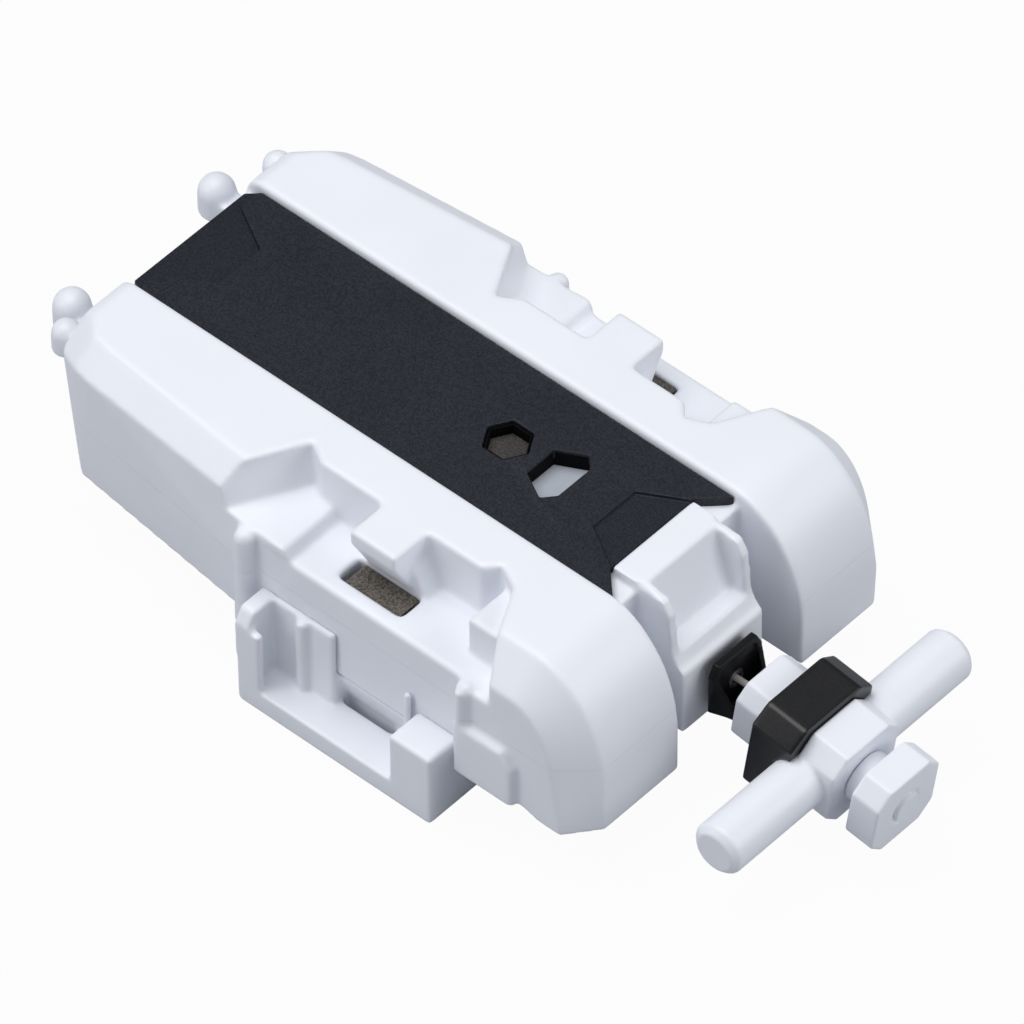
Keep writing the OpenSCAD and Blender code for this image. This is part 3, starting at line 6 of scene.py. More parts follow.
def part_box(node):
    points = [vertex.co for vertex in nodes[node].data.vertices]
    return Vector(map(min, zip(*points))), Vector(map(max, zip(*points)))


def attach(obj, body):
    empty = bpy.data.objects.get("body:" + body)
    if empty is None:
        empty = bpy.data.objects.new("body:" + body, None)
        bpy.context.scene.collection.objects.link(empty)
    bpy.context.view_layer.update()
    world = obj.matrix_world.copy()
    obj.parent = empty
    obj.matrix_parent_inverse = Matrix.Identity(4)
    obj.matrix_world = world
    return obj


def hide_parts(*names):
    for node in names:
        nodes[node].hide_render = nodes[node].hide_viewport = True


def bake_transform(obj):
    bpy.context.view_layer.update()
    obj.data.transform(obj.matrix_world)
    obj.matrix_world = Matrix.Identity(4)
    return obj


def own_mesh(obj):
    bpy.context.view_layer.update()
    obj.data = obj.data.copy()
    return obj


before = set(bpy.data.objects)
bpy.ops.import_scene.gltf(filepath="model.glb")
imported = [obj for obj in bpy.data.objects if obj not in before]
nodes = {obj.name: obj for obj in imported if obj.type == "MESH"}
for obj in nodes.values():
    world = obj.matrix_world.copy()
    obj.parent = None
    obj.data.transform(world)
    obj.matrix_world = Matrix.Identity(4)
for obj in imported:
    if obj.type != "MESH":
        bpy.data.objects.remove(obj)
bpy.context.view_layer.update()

bpy.ops.object.select_all(action="DESELECT")

# Camera. The launcher is seen from in front of its near side and well above, through a long lens,
# so that its edges stay almost parallel. The numbers come from fitting the case's edges.
CAMERA_AZIMUTH = math.radians(42.0)
CAMERA_HEIGHT = math.radians(46.98)
CAMERA_ROLL = math.radians(-0.28)
CAMERA_DISTANCE = 2.092
CAMERA_TARGET = Vector((0.00175, -0.00122, 0.0212))
CAMERA_LENS = 534.3
CAMERA_SENSOR = 36.0
CAMERA_CLIP = (0.05, 50.0)
camera_data = bpy.data.cameras.new("camera")
camera_data.lens = CAMERA_LENS
camera_data.sensor_width = CAMERA_SENSOR
camera_data.clip_start, camera_data.clip_end = CAMERA_CLIP
back = Vector((
    math.sin(CAMERA_AZIMUTH) * math.cos(CAMERA_HEIGHT),
    -math.cos(CAMERA_AZIMUTH) * math.cos(CAMERA_HEIGHT),
    math.sin(CAMERA_HEIGHT),
))
level_right = Vector((math.cos(CAMERA_AZIMUTH), math.sin(CAMERA_AZIMUTH), 0.0))
level_up = back.cross(level_right)
right = level_right * math.cos(CAMERA_ROLL) + level_up * math.sin(CAMERA_ROLL)
up = level_up * math.cos(CAMERA_ROLL) - level_right * math.sin(CAMERA_ROLL)
camera = bpy.data.objects.new("camera", camera_data)
bpy.context.scene.collection.objects.link(camera)
camera.matrix_world = Matrix.Translation(CAMERA_TARGET + back * CAMERA_DISTANCE) @ Matrix((
    (right.x, up.x, back.x, 0.0),
    (right.y, up.y, back.y, 0.0),
    (right.z, up.z, back.z, 0.0),
    (0.0, 0.0, 0.0, 1.0),
))
bpy.context.scene.camera = camera
bpy.context.scene.view_settings.view_transform = "Standard"

# Studio. A plain pale sheet lies under the launcher and a broad lamp hangs over it. Two weaker lamps
# stand low beyond the handle and beyond the near left, and the room gives a little even light.
PAPER_SIZE = 6.0
PAPER_LEVEL = -0.0002
PAPER_GREY = (0.46, 0.47, 0.50, 1.0)
PAPER_WHITE_SHARE = 0.96
BACKDROP_WHITE = (1.0, 1.0, 1.0, 1.0)
LAMPS = (
    ("key_lamp", 8.2, 0.9, (-0.22, -0.12, 1.05)),
    ("front_lamp", 3.6, 0.6, (0.85, 0.35, 0.50)),
    ("side_lamp", 2.6, 0.6, (-0.60, -0.85, 0.50)),
)
ROOM_LIGHT = (0.90, 0.94, 1.0, 1.0)
ROOM_STRENGTH = 0.24
floor_material = bpy.data.materials.new("studio_paper")
floor_material.use_nodes = True
tree = floor_material.node_tree
tree.nodes.clear()
paper = tree.nodes.new("ShaderNodeBsdfDiffuse")
paper.inputs["Color"].default_value = PAPER_GREY
glow = tree.nodes.new("ShaderNodeEmission")
glow.inputs["Color"].default_value = BACKDROP_WHITE
rays = tree.nodes.new("ShaderNodeLightPath")
share = tree.nodes.new("ShaderNodeMath")
share.operation = "MULTIPLY"
share.inputs[1].default_value = PAPER_WHITE_SHARE
blend_paper = tree.nodes.new("ShaderNodeMixShader")
paper_out = tree.nodes.new("ShaderNodeOutputMaterial")
tree.links.new(rays.outputs["Is Camera Ray"], share.inputs[0])
tree.links.new(share.outputs[0], blend_paper.inputs["Fac"])
tree.links.new(paper.outputs[0], blend_paper.inputs[1])
tree.links.new(glow.outputs[0], blend_paper.inputs[2])
tree.links.new(blend_paper.outputs[0], paper_out.inputs["Surface"])
bpy.ops.mesh.primitive_plane_add(size=PAPER_SIZE, location=(0.0, 0.0, PAPER_LEVEL))
studio_floor = bpy.context.object
studio_floor.name = "studio_floor"
studio_floor.data.materials.append(floor_material)
for name, power, size, place in LAMPS:
    lamp_data = bpy.data.lights.new(name, "AREA")
    lamp_data.shape = "SQUARE"
    lamp_data.size = size
    lamp_data.energy = power
    lamp = bpy.data.objects.new(name, lamp_data)
    bpy.context.scene.collection.objects.link(lamp)
    lamp.location = place
    lamp.rotation_euler = (-Vector(place)).to_track_quat("-Z", "Y").to_euler()
room = bpy.data.worlds.new("room")
bpy.context.scene.world = room
room.use_nodes = True
tree = room.node_tree
tree.nodes.clear()
room_light = tree.nodes.new("ShaderNodeBackground")
room_light.inputs["Color"].default_value = ROOM_LIGHT
room_light.inputs["Strength"].default_value = ROOM_STRENGTH
room_white = tree.nodes.new("ShaderNodeBackground")
room_white.inputs["Color"].default_value = BACKDROP_WHITE
rays = tree.nodes.new("ShaderNodeLightPath")
room_mix = tree.nodes.new("ShaderNodeMixShader")
room_out = tree.nodes.new("ShaderNodeOutputWorld")
tree.links.new(rays.outputs["Is Camera Ray"], room_mix.inputs["Fac"])
tree.links.new(room_light.outputs[0], room_mix.inputs[1])
tree.links.new(room_white.outputs[0], room_mix.inputs[2])
tree.links.new(room_mix.outputs[0], room_out.inputs["Surface"])


# Case. Two white ABS mouldings meet at a seam along the flanks and noses. Every edge has the soft
# rounding of an injection mould, so the sharp solids are remade as one skin and parted at the seam.
CASE_VOXEL = 0.00036
CASE_ROUNDS = 10
CASE_TRIANGLES = 300000
CASE_SHADE_ANGLE = math.radians(40)
SEAM_GAP = 0.00002
# The shield-shaped window's outline, and the opening cut under it for its floor.
SHIELD = (
    (0.0059, -0.0028),
    (0.0104, -0.0052),
    (0.0121, -0.0032),
    (0.0121, 0.0032),
    (0.0104, 0.0052),
    (0.0059, 0.0028),
)
OPENING_FROM, OPENING_TO = 0.0290, 0.0320
OPENING_MARGIN = 0.0004
# The pad on each nose, seen from the side, and the ridge behind it.
PAD = (
    (0.0204, 0.0093),
    (0.0307, 0.0093),
    (0.0307, 0.0165),
    (0.0289, 0.0188),
    (0.0204, 0.0188),
)
PAD_Y = 0.0339
PAD_HALF = 0.00045
RIDGE_X, RIDGE_Y, RIDGE_Z = 0.0212, 0.0334, 0.0222
RIDGE_R = 0.0009
RIDGE_LENGTH = 0.0062
# What every finish has in common: where its clouds, specks and lighter edges begin and end. The
# lighter edges are partly scuffing and partly a painted highlight along them.
CLOUD_SCALE = 60.0
CLOUD_DETAIL = 4.0
CLOUD_FROM, CLOUD_TO = 0.3, 0.7
GRAIN_DETAIL = 3.0
SPECK_FROM, SPECK_TO = 0.38, 0.62
EDGE_SCUFF_AND_HIGHLIGHT_FROM, EDGE_SCUFF_AND_HIGHLIGHT_TO = 0.50, 0.60
EDGE_SCUFF_AND_HIGHLIGHT_GAIN = 1.25
EDGE_SCUFF_AND_HIGHLIGHT_LIFT = 0.02
GLOSS_SPREAD = 0.05
BUMP_STRENGTH = 0.5
COAT_ROUGHNESS = 0.2
# The colour mix node's sockets go by number, because its float sockets have the same names.
MIX_SHARE, MIX_FIRST, MIX_SECOND, MIX_RESULT = 0, 6, 7, 2
MERGE_DISTANCE = 0.000002
BISECT_TOLERANCE = 0.000001
SMOOTH_FACTOR = 0.5


def grey(level):
    return (level, level, level, 1.0)


def ramp_of(tree, source, stops):
    ramp = tree.nodes.new("ShaderNodeValToRGB")
    elements = ramp.color_ramp.elements
    elements[0].position, elements[0].color = stops[0]
    elements[1].position, elements[1].color = stops[1]
    tree.links.new(source, ramp.inputs["Fac"])
    return ramp.outputs["Color"]


def principled(
    name, color, roughness, grain, bump_depth,
    mottle=0.02, metallic=0.0, coat=0.0, edge_scuff_and_highlight=0.0, specular=0.5, speckle=0.0,
):
    """A finish with fine grain and speckle, slight colour and gloss variation, and lighter edges,
    part scuffing and part painted highlight.
    """
    material = bpy.data.materials.new(name)
    material.use_nodes = True
    tree = material.node_tree
    shader = tree.nodes["Principled BSDF"]
    shader.inputs["Metallic"].default_value = metallic
    shader.inputs["Coat Weight"].default_value = coat
    shader.inputs["Coat Roughness"].default_value = COAT_ROUGHNESS
    shader.inputs["Specular IOR Level"].default_value = specular
    place = tree.nodes.new("ShaderNodeTexCoord")
    cloud = tree.nodes.new("ShaderNodeTexNoise")
    cloud.inputs["Scale"].default_value = CLOUD_SCALE
    cloud.inputs["Detail"].default_value = CLOUD_DETAIL
    tree.links.new(place.outputs["Object"], cloud.inputs["Vector"])
    darker = tuple(c * (1.0 - mottle) for c in color) + (1.0,)
    lighter = tuple(min(1.0, c * (1.0 + mottle)) for c in color) + (1.0,)
    tint = ramp_of(tree, cloud.outputs["Fac"], [(CLOUD_FROM, darker), (CLOUD_TO, lighter)])
    # Convex edges turn lighter: partly scuffing, partly a painted highlight.
    if edge_scuff_and_highlight:
        edge = tree.nodes.new("ShaderNodeNewGeometry")
        stops = [(EDGE_SCUFF_AND_HIGHLIGHT_FROM, grey(0.0)), (EDGE_SCUFF_AND_HIGHLIGHT_TO, grey(1.0))]
        scuff_and_highlight_mask = ramp_of(tree, edge.outputs["Pointiness"], stops)
        scuff_and_highlight_share = tree.nodes.new("ShaderNodeMath")
        scuff_and_highlight_share.operation = "MULTIPLY"
        scuff_and_highlight_share.inputs[1].default_value = edge_scuff_and_highlight
        tree.links.new(scuff_and_highlight_mask, scuff_and_highlight_share.inputs[0])
        scuff_and_highlight_colour = tuple(min(1.0, c * EDGE_SCUFF_AND_HIGHLIGHT_GAIN + EDGE_SCUFF_AND_HIGHLIGHT_LIFT) for c in color) + (1.0,)
        scuff_and_highlight_mix = tree.nodes.new("ShaderNodeMix")
        scuff_and_highlight_mix.data_type = "RGBA"
        scuff_and_highlight_mix.inputs[MIX_SECOND].default_value = scuff_and_highlight_colour
        tree.links.new(scuff_and_highlight_share.outputs[0], scuff_and_highlight_mix.inputs[MIX_SHARE])
        tree.links.new(tint, scuff_and_highlight_mix.inputs[MIX_FIRST])
        tint = scuff_and_highlight_mix.outputs[MIX_RESULT]
    fine = tree.nodes.new("ShaderNodeTexNoise")
    fine.inputs["Scale"].default_value = grain
    fine.inputs["Detail"].default_value = GRAIN_DETAIL
    tree.links.new(place.outputs["Object"], fine.inputs["Vector"])
    if speckle:
        stops = [(SPECK_FROM, grey(1.0 - speckle)), (SPECK_TO, grey(1.0 + speckle))]
        specks = ramp_of(tree, fine.outputs["Fac"], stops)
        speckled = tree.nodes.new("ShaderNodeMix")
        speckled.data_type = "RGBA"
        speckled.blend_type = "MULTIPLY"
        speckled.inputs[MIX_SHARE].default_value = 1.0
        tree.links.new(tint, speckled.inputs[MIX_FIRST])
        tree.links.new(specks, speckled.inputs[MIX_SECOND])
        tint = speckled.outputs[MIX_RESULT]
    tree.links.new(tint, shader.inputs["Base Color"])
    bump = tree.nodes.new("ShaderNodeBump")
    bump.inputs["Strength"].default_value = BUMP_STRENGTH
    bump.inputs["Distance"].default_value = bump_depth
    tree.links.new(fine.outputs["Fac"], bump.inputs["Height"])
    tree.links.new(bump.outputs["Normal"], shader.inputs["Normal"])
    gloss = tree.nodes.new("ShaderNodeMapRange")
    gloss.inputs["From Min"].default_value = CLOUD_FROM
    gloss.inputs["From Max"].default_value = CLOUD_TO
    gloss.inputs["To Min"].default_value = roughness - GLOSS_SPREAD
    gloss.inputs["To Max"].default_value = roughness + GLOSS_SPREAD
    tree.links.new(cloud.outputs["Fac"], gloss.inputs["Value"])
    tree.links.new(gloss.outputs["Result"], shader.inputs["Roughness"])
    return material


def only(*pieces):
    """Selects these pieces and nothing else, and makes the first one active."""
    bpy.ops.object.select_all(action="DESELECT")
    for piece in pieces:
        piece.select_set(True)
    bpy.context.view_layer.objects.active = pieces[0]


def apply_modifier(piece, kind, **settings):
    only(piece)
    modifier = piece.modifiers.new(kind.lower(), kind)
    for key, value in settings.items():
        setattr(modifier, key, value)
    bpy.ops.object.modifier_apply(modifier=modifier.name)


def merged_copy(name, source):
    """A new piece from a node's solids, with their loose triangles joined up."""
    piece = bpy.data.objects.new(name, nodes[source].data.copy())
    piece.data.materials.clear()
    bpy.context.scene.collection.objects.link(piece)
    only(piece)
    bpy.ops.object.mode_set(mode="EDIT")
    bpy.ops.mesh.select_all(action="SELECT")
    bpy.ops.mesh.remove_doubles(threshold=MERGE_DISTANCE)
    bpy.ops.object.mode_set(mode="OBJECT")
    return piece


def prism(name, outline, bottom, top, grow=0.0):
    """An upright prism over an outline, drawn out by grow round its middle."""
    middle_x = sum(x for x, y in outline) / len(outline)
    bpy.ops.object.select_all(action="DESELECT")
    bpy.ops.mesh.primitive_circle_add(vertices=len(outline), fill_type="NGON")
    piece = bpy.context.object
    piece.name = name
    for vertex, (x, y) in zip(piece.data.vertices, outline):
        span = math.hypot(x - middle_x, y)
        vertex.co = (x + grow * (x - middle_x) / span, y + grow * y / span, bottom)
    bpy.ops.object.mode_set(mode="EDIT")
    bpy.ops.mesh.select_all(action="SELECT")
    bpy.ops.mesh.extrude_region_move(TRANSFORM_OT_translate={"value": (0.0, 0.0, top - bottom)})
    bpy.ops.mesh.select_all(action="SELECT")
    bpy.ops.mesh.normals_make_consistent(inside=False)
    bpy.ops.object.mode_set(mode="OBJECT")
    return piece


def rod(radius, length, middle, sides, turned=(0.0, 0.0, 0.0)):
    """A round rod about its middle, upright unless it is turned."""
    bpy.ops.mesh.primitive_cylinder_add(
        vertices=sides, radius=radius, depth=length, location=middle, rotation=turned,
    )
    piece = bpy.context.object
    bpy.ops.object.transform_apply(location=True, rotation=True, scale=True)
    return piece


def combined(piece, other, how):
    """Joins another solid to the piece, or cuts it away, and drops the other."""
    apply_modifier(piece, "BOOLEAN", operation=how, object=other, solver="EXACT")
    bpy.data.objects.remove(other)
    return piece


def joined(piece, other):
    """Puts another solid into the piece, before both are remade as one skin."""
    only(piece, other)
    bpy.ops.object.join()
    return piece


def moulded(piece, voxel, rounds, most, tilt=0.0):
    """Remakes a sharp solid as a skin with softly rounded edges, of at most so many triangles.
    A piece tilted about Y is laid level meanwhile, so that its faces follow the voxels."""
    piece.data.transform(Matrix.Rotation(-tilt, 4, "Y"))
    apply_modifier(piece, "REMESH", mode="VOXEL", voxel_size=voxel, use_smooth_shade=True)
    apply_modifier(piece, "SMOOTH", factor=SMOOTH_FACTOR, iterations=rounds)
    count = 2 * len(piece.data.polygons)
    if count > most:
        apply_modifier(piece, "DECIMATE", decimate_type="COLLAPSE", ratio=most / count)
    piece.data.transform(Matrix.Rotation(tilt, 4, "Y"))
    bpy.ops.object.shade_smooth()
    return piece


def part_at(piece, name, level, keep_above):
    """A copy of the piece on one side of a level, closed with a flat face."""
    half = bpy.data.objects.new(name, piece.data.copy())
    bpy.context.scene.collection.objects.link(half)
    only(half)
    bpy.ops.object.mode_set(mode="EDIT")
    bpy.ops.mesh.select_all(action="SELECT")
    bpy.ops.mesh.bisect(
        plane_co=(0.0, 0.0, level), plane_no=(0.0, 0.0, 1.0), use_fill=True,
        clear_inner=keep_above, clear_outer=not keep_above, threshold=BISECT_TOLERANCE,
    )
    bpy.ops.mesh.select_all(action="SELECT")
    bpy.ops.mesh.normals_make_consistent(inside=False)
    bpy.ops.object.mode_set(mode="OBJECT")
    bpy.ops.object.shade_smooth_by_angle(angle=CASE_SHADE_ANGLE)
    return half


def finished(piece, body, slot, material, *replaced):
    piece.data.materials.clear()
    piece.data.materials.append(material)
    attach(piece, body)
    if replaced:
        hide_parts(*replaced)
    return piece


case_white = principled(
    "case_white_abs", (0.840, 0.860, 0.920), 0.42, 1800.0, 0.00002, mottle=0.012, coat=0.05,
)
seam_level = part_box("upper_case")[0][2]
case_skin = merged_copy("case_skin", "upper_case")
combined(case_skin, merged_copy("case_half", "lower_case"), "UNION")
window_pocket = prism("window_pocket", SHIELD, OPENING_FROM, OPENING_TO, OPENING_MARGIN)
combined(case_skin, window_pocket, "DIFFERENCE")
for side in (-1.0, 1.0):
    pad = prism("pad", PAD, -PAD_HALF, PAD_HALF)
    pad_place = Matrix.Translation((0.0, side * PAD_Y, 0.0))
    pad.data.transform(pad_place @ Matrix.Rotation(math.radians(90), 4, "X"))
    joined(case_skin, pad)
    joined(case_skin, rod(RIDGE_R, RIDGE_LENGTH, (RIDGE_X, side * RIDGE_Y, RIDGE_Z), 32))
moulded(case_skin, CASE_VOXEL, CASE_ROUNDS, CASE_TRIANGLES)
upper_shell = part_at(case_skin, "upper_shell", seam_level + SEAM_GAP, True)
lower_shell = part_at(case_skin, "lower_shell", seam_level - SEAM_GAP, False)
bpy.data.objects.remove(case_skin)
finished(upper_shell, "housing", "case_plastic", case_white, "upper_case")
finished(lower_shell, "housing", "case_plastic", case_white, "lower_case")


# Hub base. A third white moulding under the case, with an open grip rail on each side and the round
# claw well in its middle, held by four screws. Same plastic, same soft edges.
HUB_VOXEL = 0.00034
HUB_TRIANGLES = 190000
HUB_CORNER = 0.0014
HUB_CORNER_STEPS = 4
HUB_SHARP_ANGLE = math.radians(40)
RAIL_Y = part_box("hub_base")[1][1]
RAIL_NEAR = 0.0001
RAIL_UPRIGHT = 0.002
RIB_X, RIB_Y = -0.0085, 0.0328
RIB_R = 0.0010
RIB_FOOT, RIB_TOP = 0.003, 0.0172


def rounded_where(piece, test, width):
    """Rounds off the sharp edges of a merged copy whose two ends both pass the test."""
    only(piece)
    bpy.ops.object.mode_set(mode="EDIT")
    bpy.ops.mesh.select_mode(type="EDGE")
    bpy.ops.mesh.select_all(action="DESELECT")
    bpy.ops.mesh.edges_select_sharp(sharpness=HUB_SHARP_ANGLE)
    bpy.ops.object.mode_set(mode="OBJECT")
    points = [vertex.co for vertex in piece.data.vertices]
    for edge in piece.data.edges:
        edge.select = edge.select and test(points[edge.vertices[0]], points[edge.vertices[1]])
    bpy.ops.object.mode_set(mode="EDIT")
    bpy.ops.mesh.bevel(
        offset=width, segments=HUB_CORNER_STEPS, affect="EDGES", clamp_overlap=True,
    )
    bpy.ops.object.mode_set(mode="OBJECT")
    return piece


def rail_corner(first, second):
    """Whether an edge is an upright or a foot edge on a rail's outer face."""
    outside = min(abs(first.y), abs(second.y)) > RAIL_Y - RAIL_NEAR
    upright = abs(first.z - second.z) > RAIL_UPRIGHT
    foot = max(first.z, second.z) < RAIL_NEAR
    return outside and (upright or foot)


hub_shell = rounded_where(merged_copy("hub_shell", "hub_base"), rail_corner, HUB_CORNER)
for side in (-1.0, 1.0):
    rib_middle = (RIB_X, side * RIB_Y, (RIB_TOP + RIB_FOOT) / 2)
    joined(hub_shell, rod(RIB_R, RIB_TOP - RIB_FOOT, rib_middle, 32))
moulded(hub_shell, HUB_VOXEL, CASE_ROUNDS, HUB_TRIANGLES)
finished(hub_shell, "housing", "case_plastic", case_white, "hub_base")


# Cover panel. A black fine-textured plate clipped into the top bay, its edges lightly broken. Black
# walls go down into its two windows, the panel's black made darker there as painted shade in the
# holes, and the shield-shaped one shows a floor of the pale case plastic, coloured darker as painted
# shade.
PANEL_EDGE = 0.00030
EDGE_STEPS = 2
EDGE_ANGLE = math.radians(30)
EDGE_SHADE_ANGLE = math.radians(35)
EDGE_NORMAL_WEIGHT = 80
HEXAGON_R = 0.0038
HEXAGON = [
    (HEXAGON_R * math.cos(math.radians(60 * k)), HEXAGON_R * math.sin(math.radians(60 * k)))
    for k in range(6)
]
# The window linings: black walls inside the two windows, partly the panel's own black and partly
# painted shade down the holes.
SKIRTS = (
    ("hexagon_skirt", HEXAGON, 0.0304, -0.00025, -0.00050),
    ("shield_skirt", SHIELD, 0.0305, 0.00030, -0.00002),
)
SKIRT_TOP = 0.0331
SKIRT_EDGE = 0.00006
CUT_PAST = 0.001
SHIELD_FLOOR_FROM, SHIELD_FLOOR_TO = 0.0301, 0.0304
SHIELD_FLOOR_MARGIN = 0.0005
SHIELD_FLOOR_EDGE = 0.00005


def edged(piece, width):
    """Breaks the sharp edges of a merged copy and shades it smooth up to the edges."""
    apply_modifier(
        piece, "BEVEL", width=width, segments=EDGE_STEPS, limit_method="ANGLE",
        angle_limit=EDGE_ANGLE, use_clamp_overlap=True, miter_outer="MITER_ARC",
    )
    bpy.ops.object.shade_smooth_by_angle(angle=EDGE_SHADE_ANGLE)
    apply_modifier(piece, "WEIGHTED_NORMAL", keep_sharp=True, weight=EDGE_NORMAL_WEIGHT)
    return piece


# The panel's lighter edges are part scuffing and part painted highlight.
panel_black = principled(
    "panel_black_texture", (0.0085, 0.0105, 0.0180), 0.50, 3600.0, 0.00010,
    mottle=0.10, edge_scuff_and_highlight=0.25, specular=0.30, speckle=0.60,
)
# A near-black darker than the panel for the window walls: partly the panel's black, partly painted
# shade in the holes.
window_wall_black_and_shade = principled(
    "window_wall_black_and_shade", (0.0020, 0.0020, 0.0028), 0.75, 3600.0, 0.00002, mottle=0.10, specular=0.1,
)
# The case white, painted darker as the shade at the bottom of the shield-shaped window.
window_floor_shaded_white = principled(
    "window_floor_shaded_white", (0.50, 0.54, 0.61), 0.42, 1800.0, 0.00002, mottle=0.03,
)
cover_panel = edged(merged_copy("cover_panel", "top_panel"), PANEL_EDGE)
finished(cover_panel, "housing", "panel_plastic", panel_black, "top_panel")
for name, outline, foot, outer_grow, inner_grow in SKIRTS:
    skirt = prism(name, outline, foot, SKIRT_TOP, outer_grow)
    hollow = prism("hollow", outline, foot - CUT_PAST, SKIRT_TOP + CUT_PAST, inner_grow)
    combined(skirt, hollow, "DIFFERENCE")
    edged(skirt, SKIRT_EDGE)
    finished(skirt, "housing", "panel_plastic", window_wall_black_and_shade)
shield_floor = prism(
    "shield_floor", SHIELD, SHIELD_FLOOR_FROM, SHIELD_FLOOR_TO, SHIELD_FLOOR_MARGIN,
)
edged(shield_floor, SHIELD_FLOOR_EDGE)
finished(shield_floor, "housing", "case_plastic", window_floor_shaded_white)


# String bumper. A black rubber cup pressed on the outlet, its lower lip reaching forward and its
# mouth a little narrower than its back.
BUMPER_VOXEL = 0.00016
BUMPER_ROUNDS = 9
BUMPER_TRIANGLES = 80000
MOUTH_FROM = 0.0430
MOUTH_CENTRE = (0.0445, 0.0, 0.0155)
MOUTH_WIDTH = 0.72
bumper_black = principled(
    "bumper_rubber", (0.0045, 0.0045, 0.0052), 0.34, 2600.0, 0.00001,
    mottle=0.08, edge_scuff_and_highlight=0.1, specular=0.2,
)
outlet_cup = merged_copy("outlet_cup", "string_bumper")
bpy.ops.object.mode_set(mode="EDIT")
bpy.ops.mesh.select_all(action="DESELECT")
bpy.ops.object.mode_set(mode="OBJECT")
for vertex in outlet_cup.data.vertices:
    vertex.select = vertex.co.x > MOUTH_FROM
bpy.ops.object.mode_set(mode="EDIT")
bpy.ops.transform.resize(value=(1.0, MOUTH_WIDTH, 1.0), center_override=MOUTH_CENTRE)
bpy.ops.object.mode_set(mode="OBJECT")
moulded(outlet_cup, BUMPER_VOXEL, BUMPER_ROUNDS, BUMPER_TRIANGLES)
finished(outlet_cup, "housing", "bumper_rubber", bumper_black, "string_bumper")


# T-handle. A white crossbar with an eight-sided hub, a collar towards the string, an eight-sided
# end cap with a small raised button, and a black clip snapped over the collar.
HANDLE_VOXEL = 0.00025
HANDLE_TRIANGLES = 120000
HANDLE_TILT = math.radians(8.0)
HANDLE_PLACE = Vector((0.0596, 0.0, 0.0137))
HANDLE_LYING = (0.0, math.radians(90.0) + HANDLE_TILT, 0.0)
HANDLE_PIECES = (
    ("crossbar", "handle_bar", 9),
    ("collar", "handle_collar", 9),
    ("end_cap", "handle_cap", 7),
)
CLIP_ROUNDS = 6
CLIP_TRIANGLES = 100000
BUTTON_R = 0.0022
BUTTON_FROM, BUTTON_TO = 0.0122, 0.01338
BUTTON_EDGE = 0.00014
CAP_FACE = 0.0130
DISH_MARGIN = 0.0006
DISH_THICK = 0.001
DISH_OUT = 0.0002


def on_handle(distance):
    """A point on the middle line of the tilted handle, this far in front of the crossbar's middle."""
    return HANDLE_PLACE + Matrix.Rotation(HANDLE_TILT, 3, "Y") @ Vector((distance, 0.0, 0.0))


for name, node, rounds in HANDLE_PIECES:
    piece = merged_copy(name, node)
    if name == "end_cap":
        dish_middle = on_handle(CAP_FACE + DISH_OUT)
        dish = rod(BUTTON_R + DISH_MARGIN, DISH_THICK, dish_middle, 64, HANDLE_LYING)
        combined(piece, dish, "DIFFERENCE")
    moulded(piece, HANDLE_VOXEL, rounds, HANDLE_TRIANGLES, HANDLE_TILT)
    finished(piece, "handle", "case_plastic", case_white, node)
button_middle = on_handle((BUTTON_FROM + BUTTON_TO) / 2)
cap_button = rod(BUTTON_R, BUTTON_TO - BUTTON_FROM, button_middle, 64, HANDLE_LYING)
cap_button.name = "cap_button"
edged(cap_button, BUTTON_EDGE)
finished(cap_button, "handle", "case_plastic", case_white)
clip_black = principled(
    "clip_black_abs", (0.0050, 0.0050, 0.0060), 0.30, 2400.0, 0.00001,
    mottle=0.08, coat=0.10, edge_scuff_and_highlight=0.2, specular=0.4, speckle=0.4,
)
clip = merged_copy("clip", "handle_clip")
moulded(clip, HANDLE_VOXEL, CLIP_ROUNDS, CLIP_TRIANGLES, HANDLE_TILT)
finished(clip, "handle", "clip_plastic", clip_black, "handle_clip")


# Works. The reel, gears, shaft, springs and screws inside stay as they were turned, cut and moulded,
# and take the finish of their metal or plastic. A coil spring stands over the sensing pin.
bright_steel = principled(
    "bright_steel", (0.60, 0.61, 0.63), 0.28, 3000.0, 0.000008, mottle=0.05, metallic=1.0,
)
spring_blue = principled(
    "blued_spring_strip", (0.30, 0.30, 0.33), 0.36, 2600.0, 0.000008, mottle=0.12, metallic=1.0,
)
turned_brass = principled(
    "turned_brass", (0.70, 0.52, 0.24), 0.30, 2600.0, 0.000008, mottle=0.06, metallic=1.0,
)
plate_metal = principled(
    "pressed_plate", (0.62, 0.63, 0.65), 0.40, 2200.0, 0.00001, mottle=0.06, metallic=1.0,
)
reel_orange = principled(
    "reel_orange_acetal", (0.72, 0.33, 0.07), 0.42, 1600.0, 0.00001, mottle=0.05,
)
dark_acetal = principled(
    "dark_acetal", (0.060, 0.060, 0.068), 0.42, 1600.0, 0.00001, mottle=0.10, edge_scuff_and_highlight=0.2,
)
pin_dark = principled(
    "pin_dark_grey", (0.052, 0.046, 0.043), 0.60, 3200.0, 0.00002,
    mottle=0.20, specular=0.3, speckle=0.35,
)
braid = principled("braided_string", (0.50, 0.48, 0.44), 0.80, 3600.0, 0.00008, mottle=0.10)
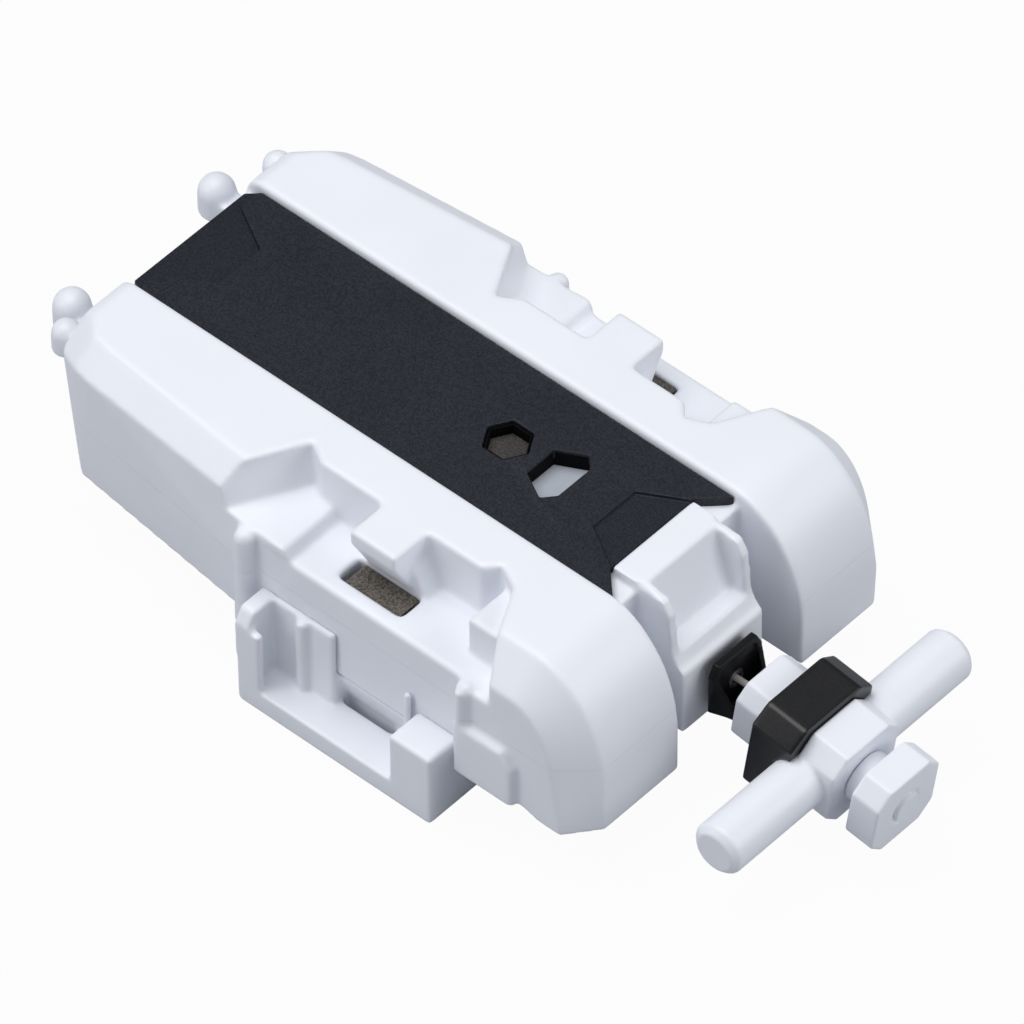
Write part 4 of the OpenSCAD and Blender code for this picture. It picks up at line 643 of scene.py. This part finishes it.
WORKS = {
    "string_tube": bright_steel,
    "mechanism_plate": plate_metal,
    "reel_post": bright_steel,
    "spring_arbor": dark_acetal,
    "mainspring": spring_blue,
    "lower_bush": turned_brass,
    "upper_bush": turned_brass,
    "case_screws": bright_steel,
    "hub_screws": bright_steel,
    "plate_screws": bright_steel,
    "string_run": braid,
    "string_reel": reel_orange,
    "spring_cover": reel_orange,
    "wound_string": braid,
    "drive_gear": plate_metal,
    "launch_shaft": bright_steel,
    "shaft_spacer": dark_acetal,
    "pawl_ring": dark_acetal,
    "shaft_clip": bright_steel,
    "claw_disc": case_white,
    "claw_hooks": dark_acetal,
    "pin_tip": case_white,
}
for node, finish in WORKS.items():
    nodes[node].data.materials.clear()
    nodes[node].data.materials.append(finish)
PIN_EDGE = 0.00020
WIRE_SHADE_ANGLE = math.radians(50)
pin_body = edged(merged_copy("pin_body", "sensing_pin"), PIN_EDGE)
finished(pin_body, "pin", "dark_plastic", pin_dark, "sensing_pin")
pin_coil = merged_copy("pin_coil", "pin_spring")
bpy.ops.object.shade_smooth_by_angle(angle=WIRE_SHADE_ANGLE)
finished(pin_coil, "housing", "steel", bright_steel, "pin_spring")
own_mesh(pin_coil)


# Latch springs. One bent steel strip stands in each side pocket's slot, oiled brown; its upper leaf
# fills the slot a little below the shelf and leaves a dark gap at both ends.
STRIP_EDGE = 0.00004
LEAF_X = (-0.0044, 0.0056)
LEAF_Y = (0.0244, 0.0287)
LEAF_TOP = 0.0249
LEAF_T = 0.0004
LEAF_EDGE = 0.00012
latch_steel = principled(
    "oiled_latch_steel", (0.105, 0.092, 0.076), 0.60, 3400.0, 0.00003,
    mottle=0.20, metallic=0.2, speckle=0.55,
)
latch_strips = merged_copy("latch_strips", "latch_springs")
for side in (-1.0, 1.0):
    bpy.ops.mesh.primitive_cube_add(size=1.0)
    leaf = bpy.context.object
    leaf.dimensions = (LEAF_X[1] - LEAF_X[0], LEAF_Y[1] - LEAF_Y[0], LEAF_T)
    leaf.location = (sum(LEAF_X) / 2, side * sum(LEAF_Y) / 2, LEAF_TOP - LEAF_T / 2)
    bpy.ops.object.transform_apply(location=True, rotation=True, scale=True)
    apply_modifier(leaf, "BEVEL", width=LEAF_EDGE, segments=EDGE_STEPS, limit_method="ANGLE")
    joined(latch_strips, leaf)
edged(latch_strips, STRIP_EDGE)
finished(latch_strips, "housing", "spring_steel", latch_steel, "latch_springs")


# Pull string. The braid comes out of the tube behind the bumper, runs into the collar and ends in a
# knot under the cap. Between bumper and collar its skin is cut into many short rings.
STRING_START = 0.0405
STRING_END = 0.0455
STRING_RINGS = 48
drawn_string = merged_copy("drawn_string", "pull_string")
bpy.ops.object.mode_set(mode="EDIT")
for ring in range(STRING_RINGS + 1):
    ring_x = STRING_START + (STRING_END - STRING_START) * ring / STRING_RINGS
    bpy.ops.mesh.select_all(action="SELECT")
    bpy.ops.mesh.bisect(plane_co=(ring_x, 0.0, 0.0), plane_no=(1.0, 0.0, 0.0))
bpy.ops.object.mode_set(mode="OBJECT")
bpy.ops.object.shade_smooth_by_angle(angle=WIRE_SHADE_ANGLE)
drawn_string.data.materials.append(braid)
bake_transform(drawn_string)
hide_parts("pull_string")
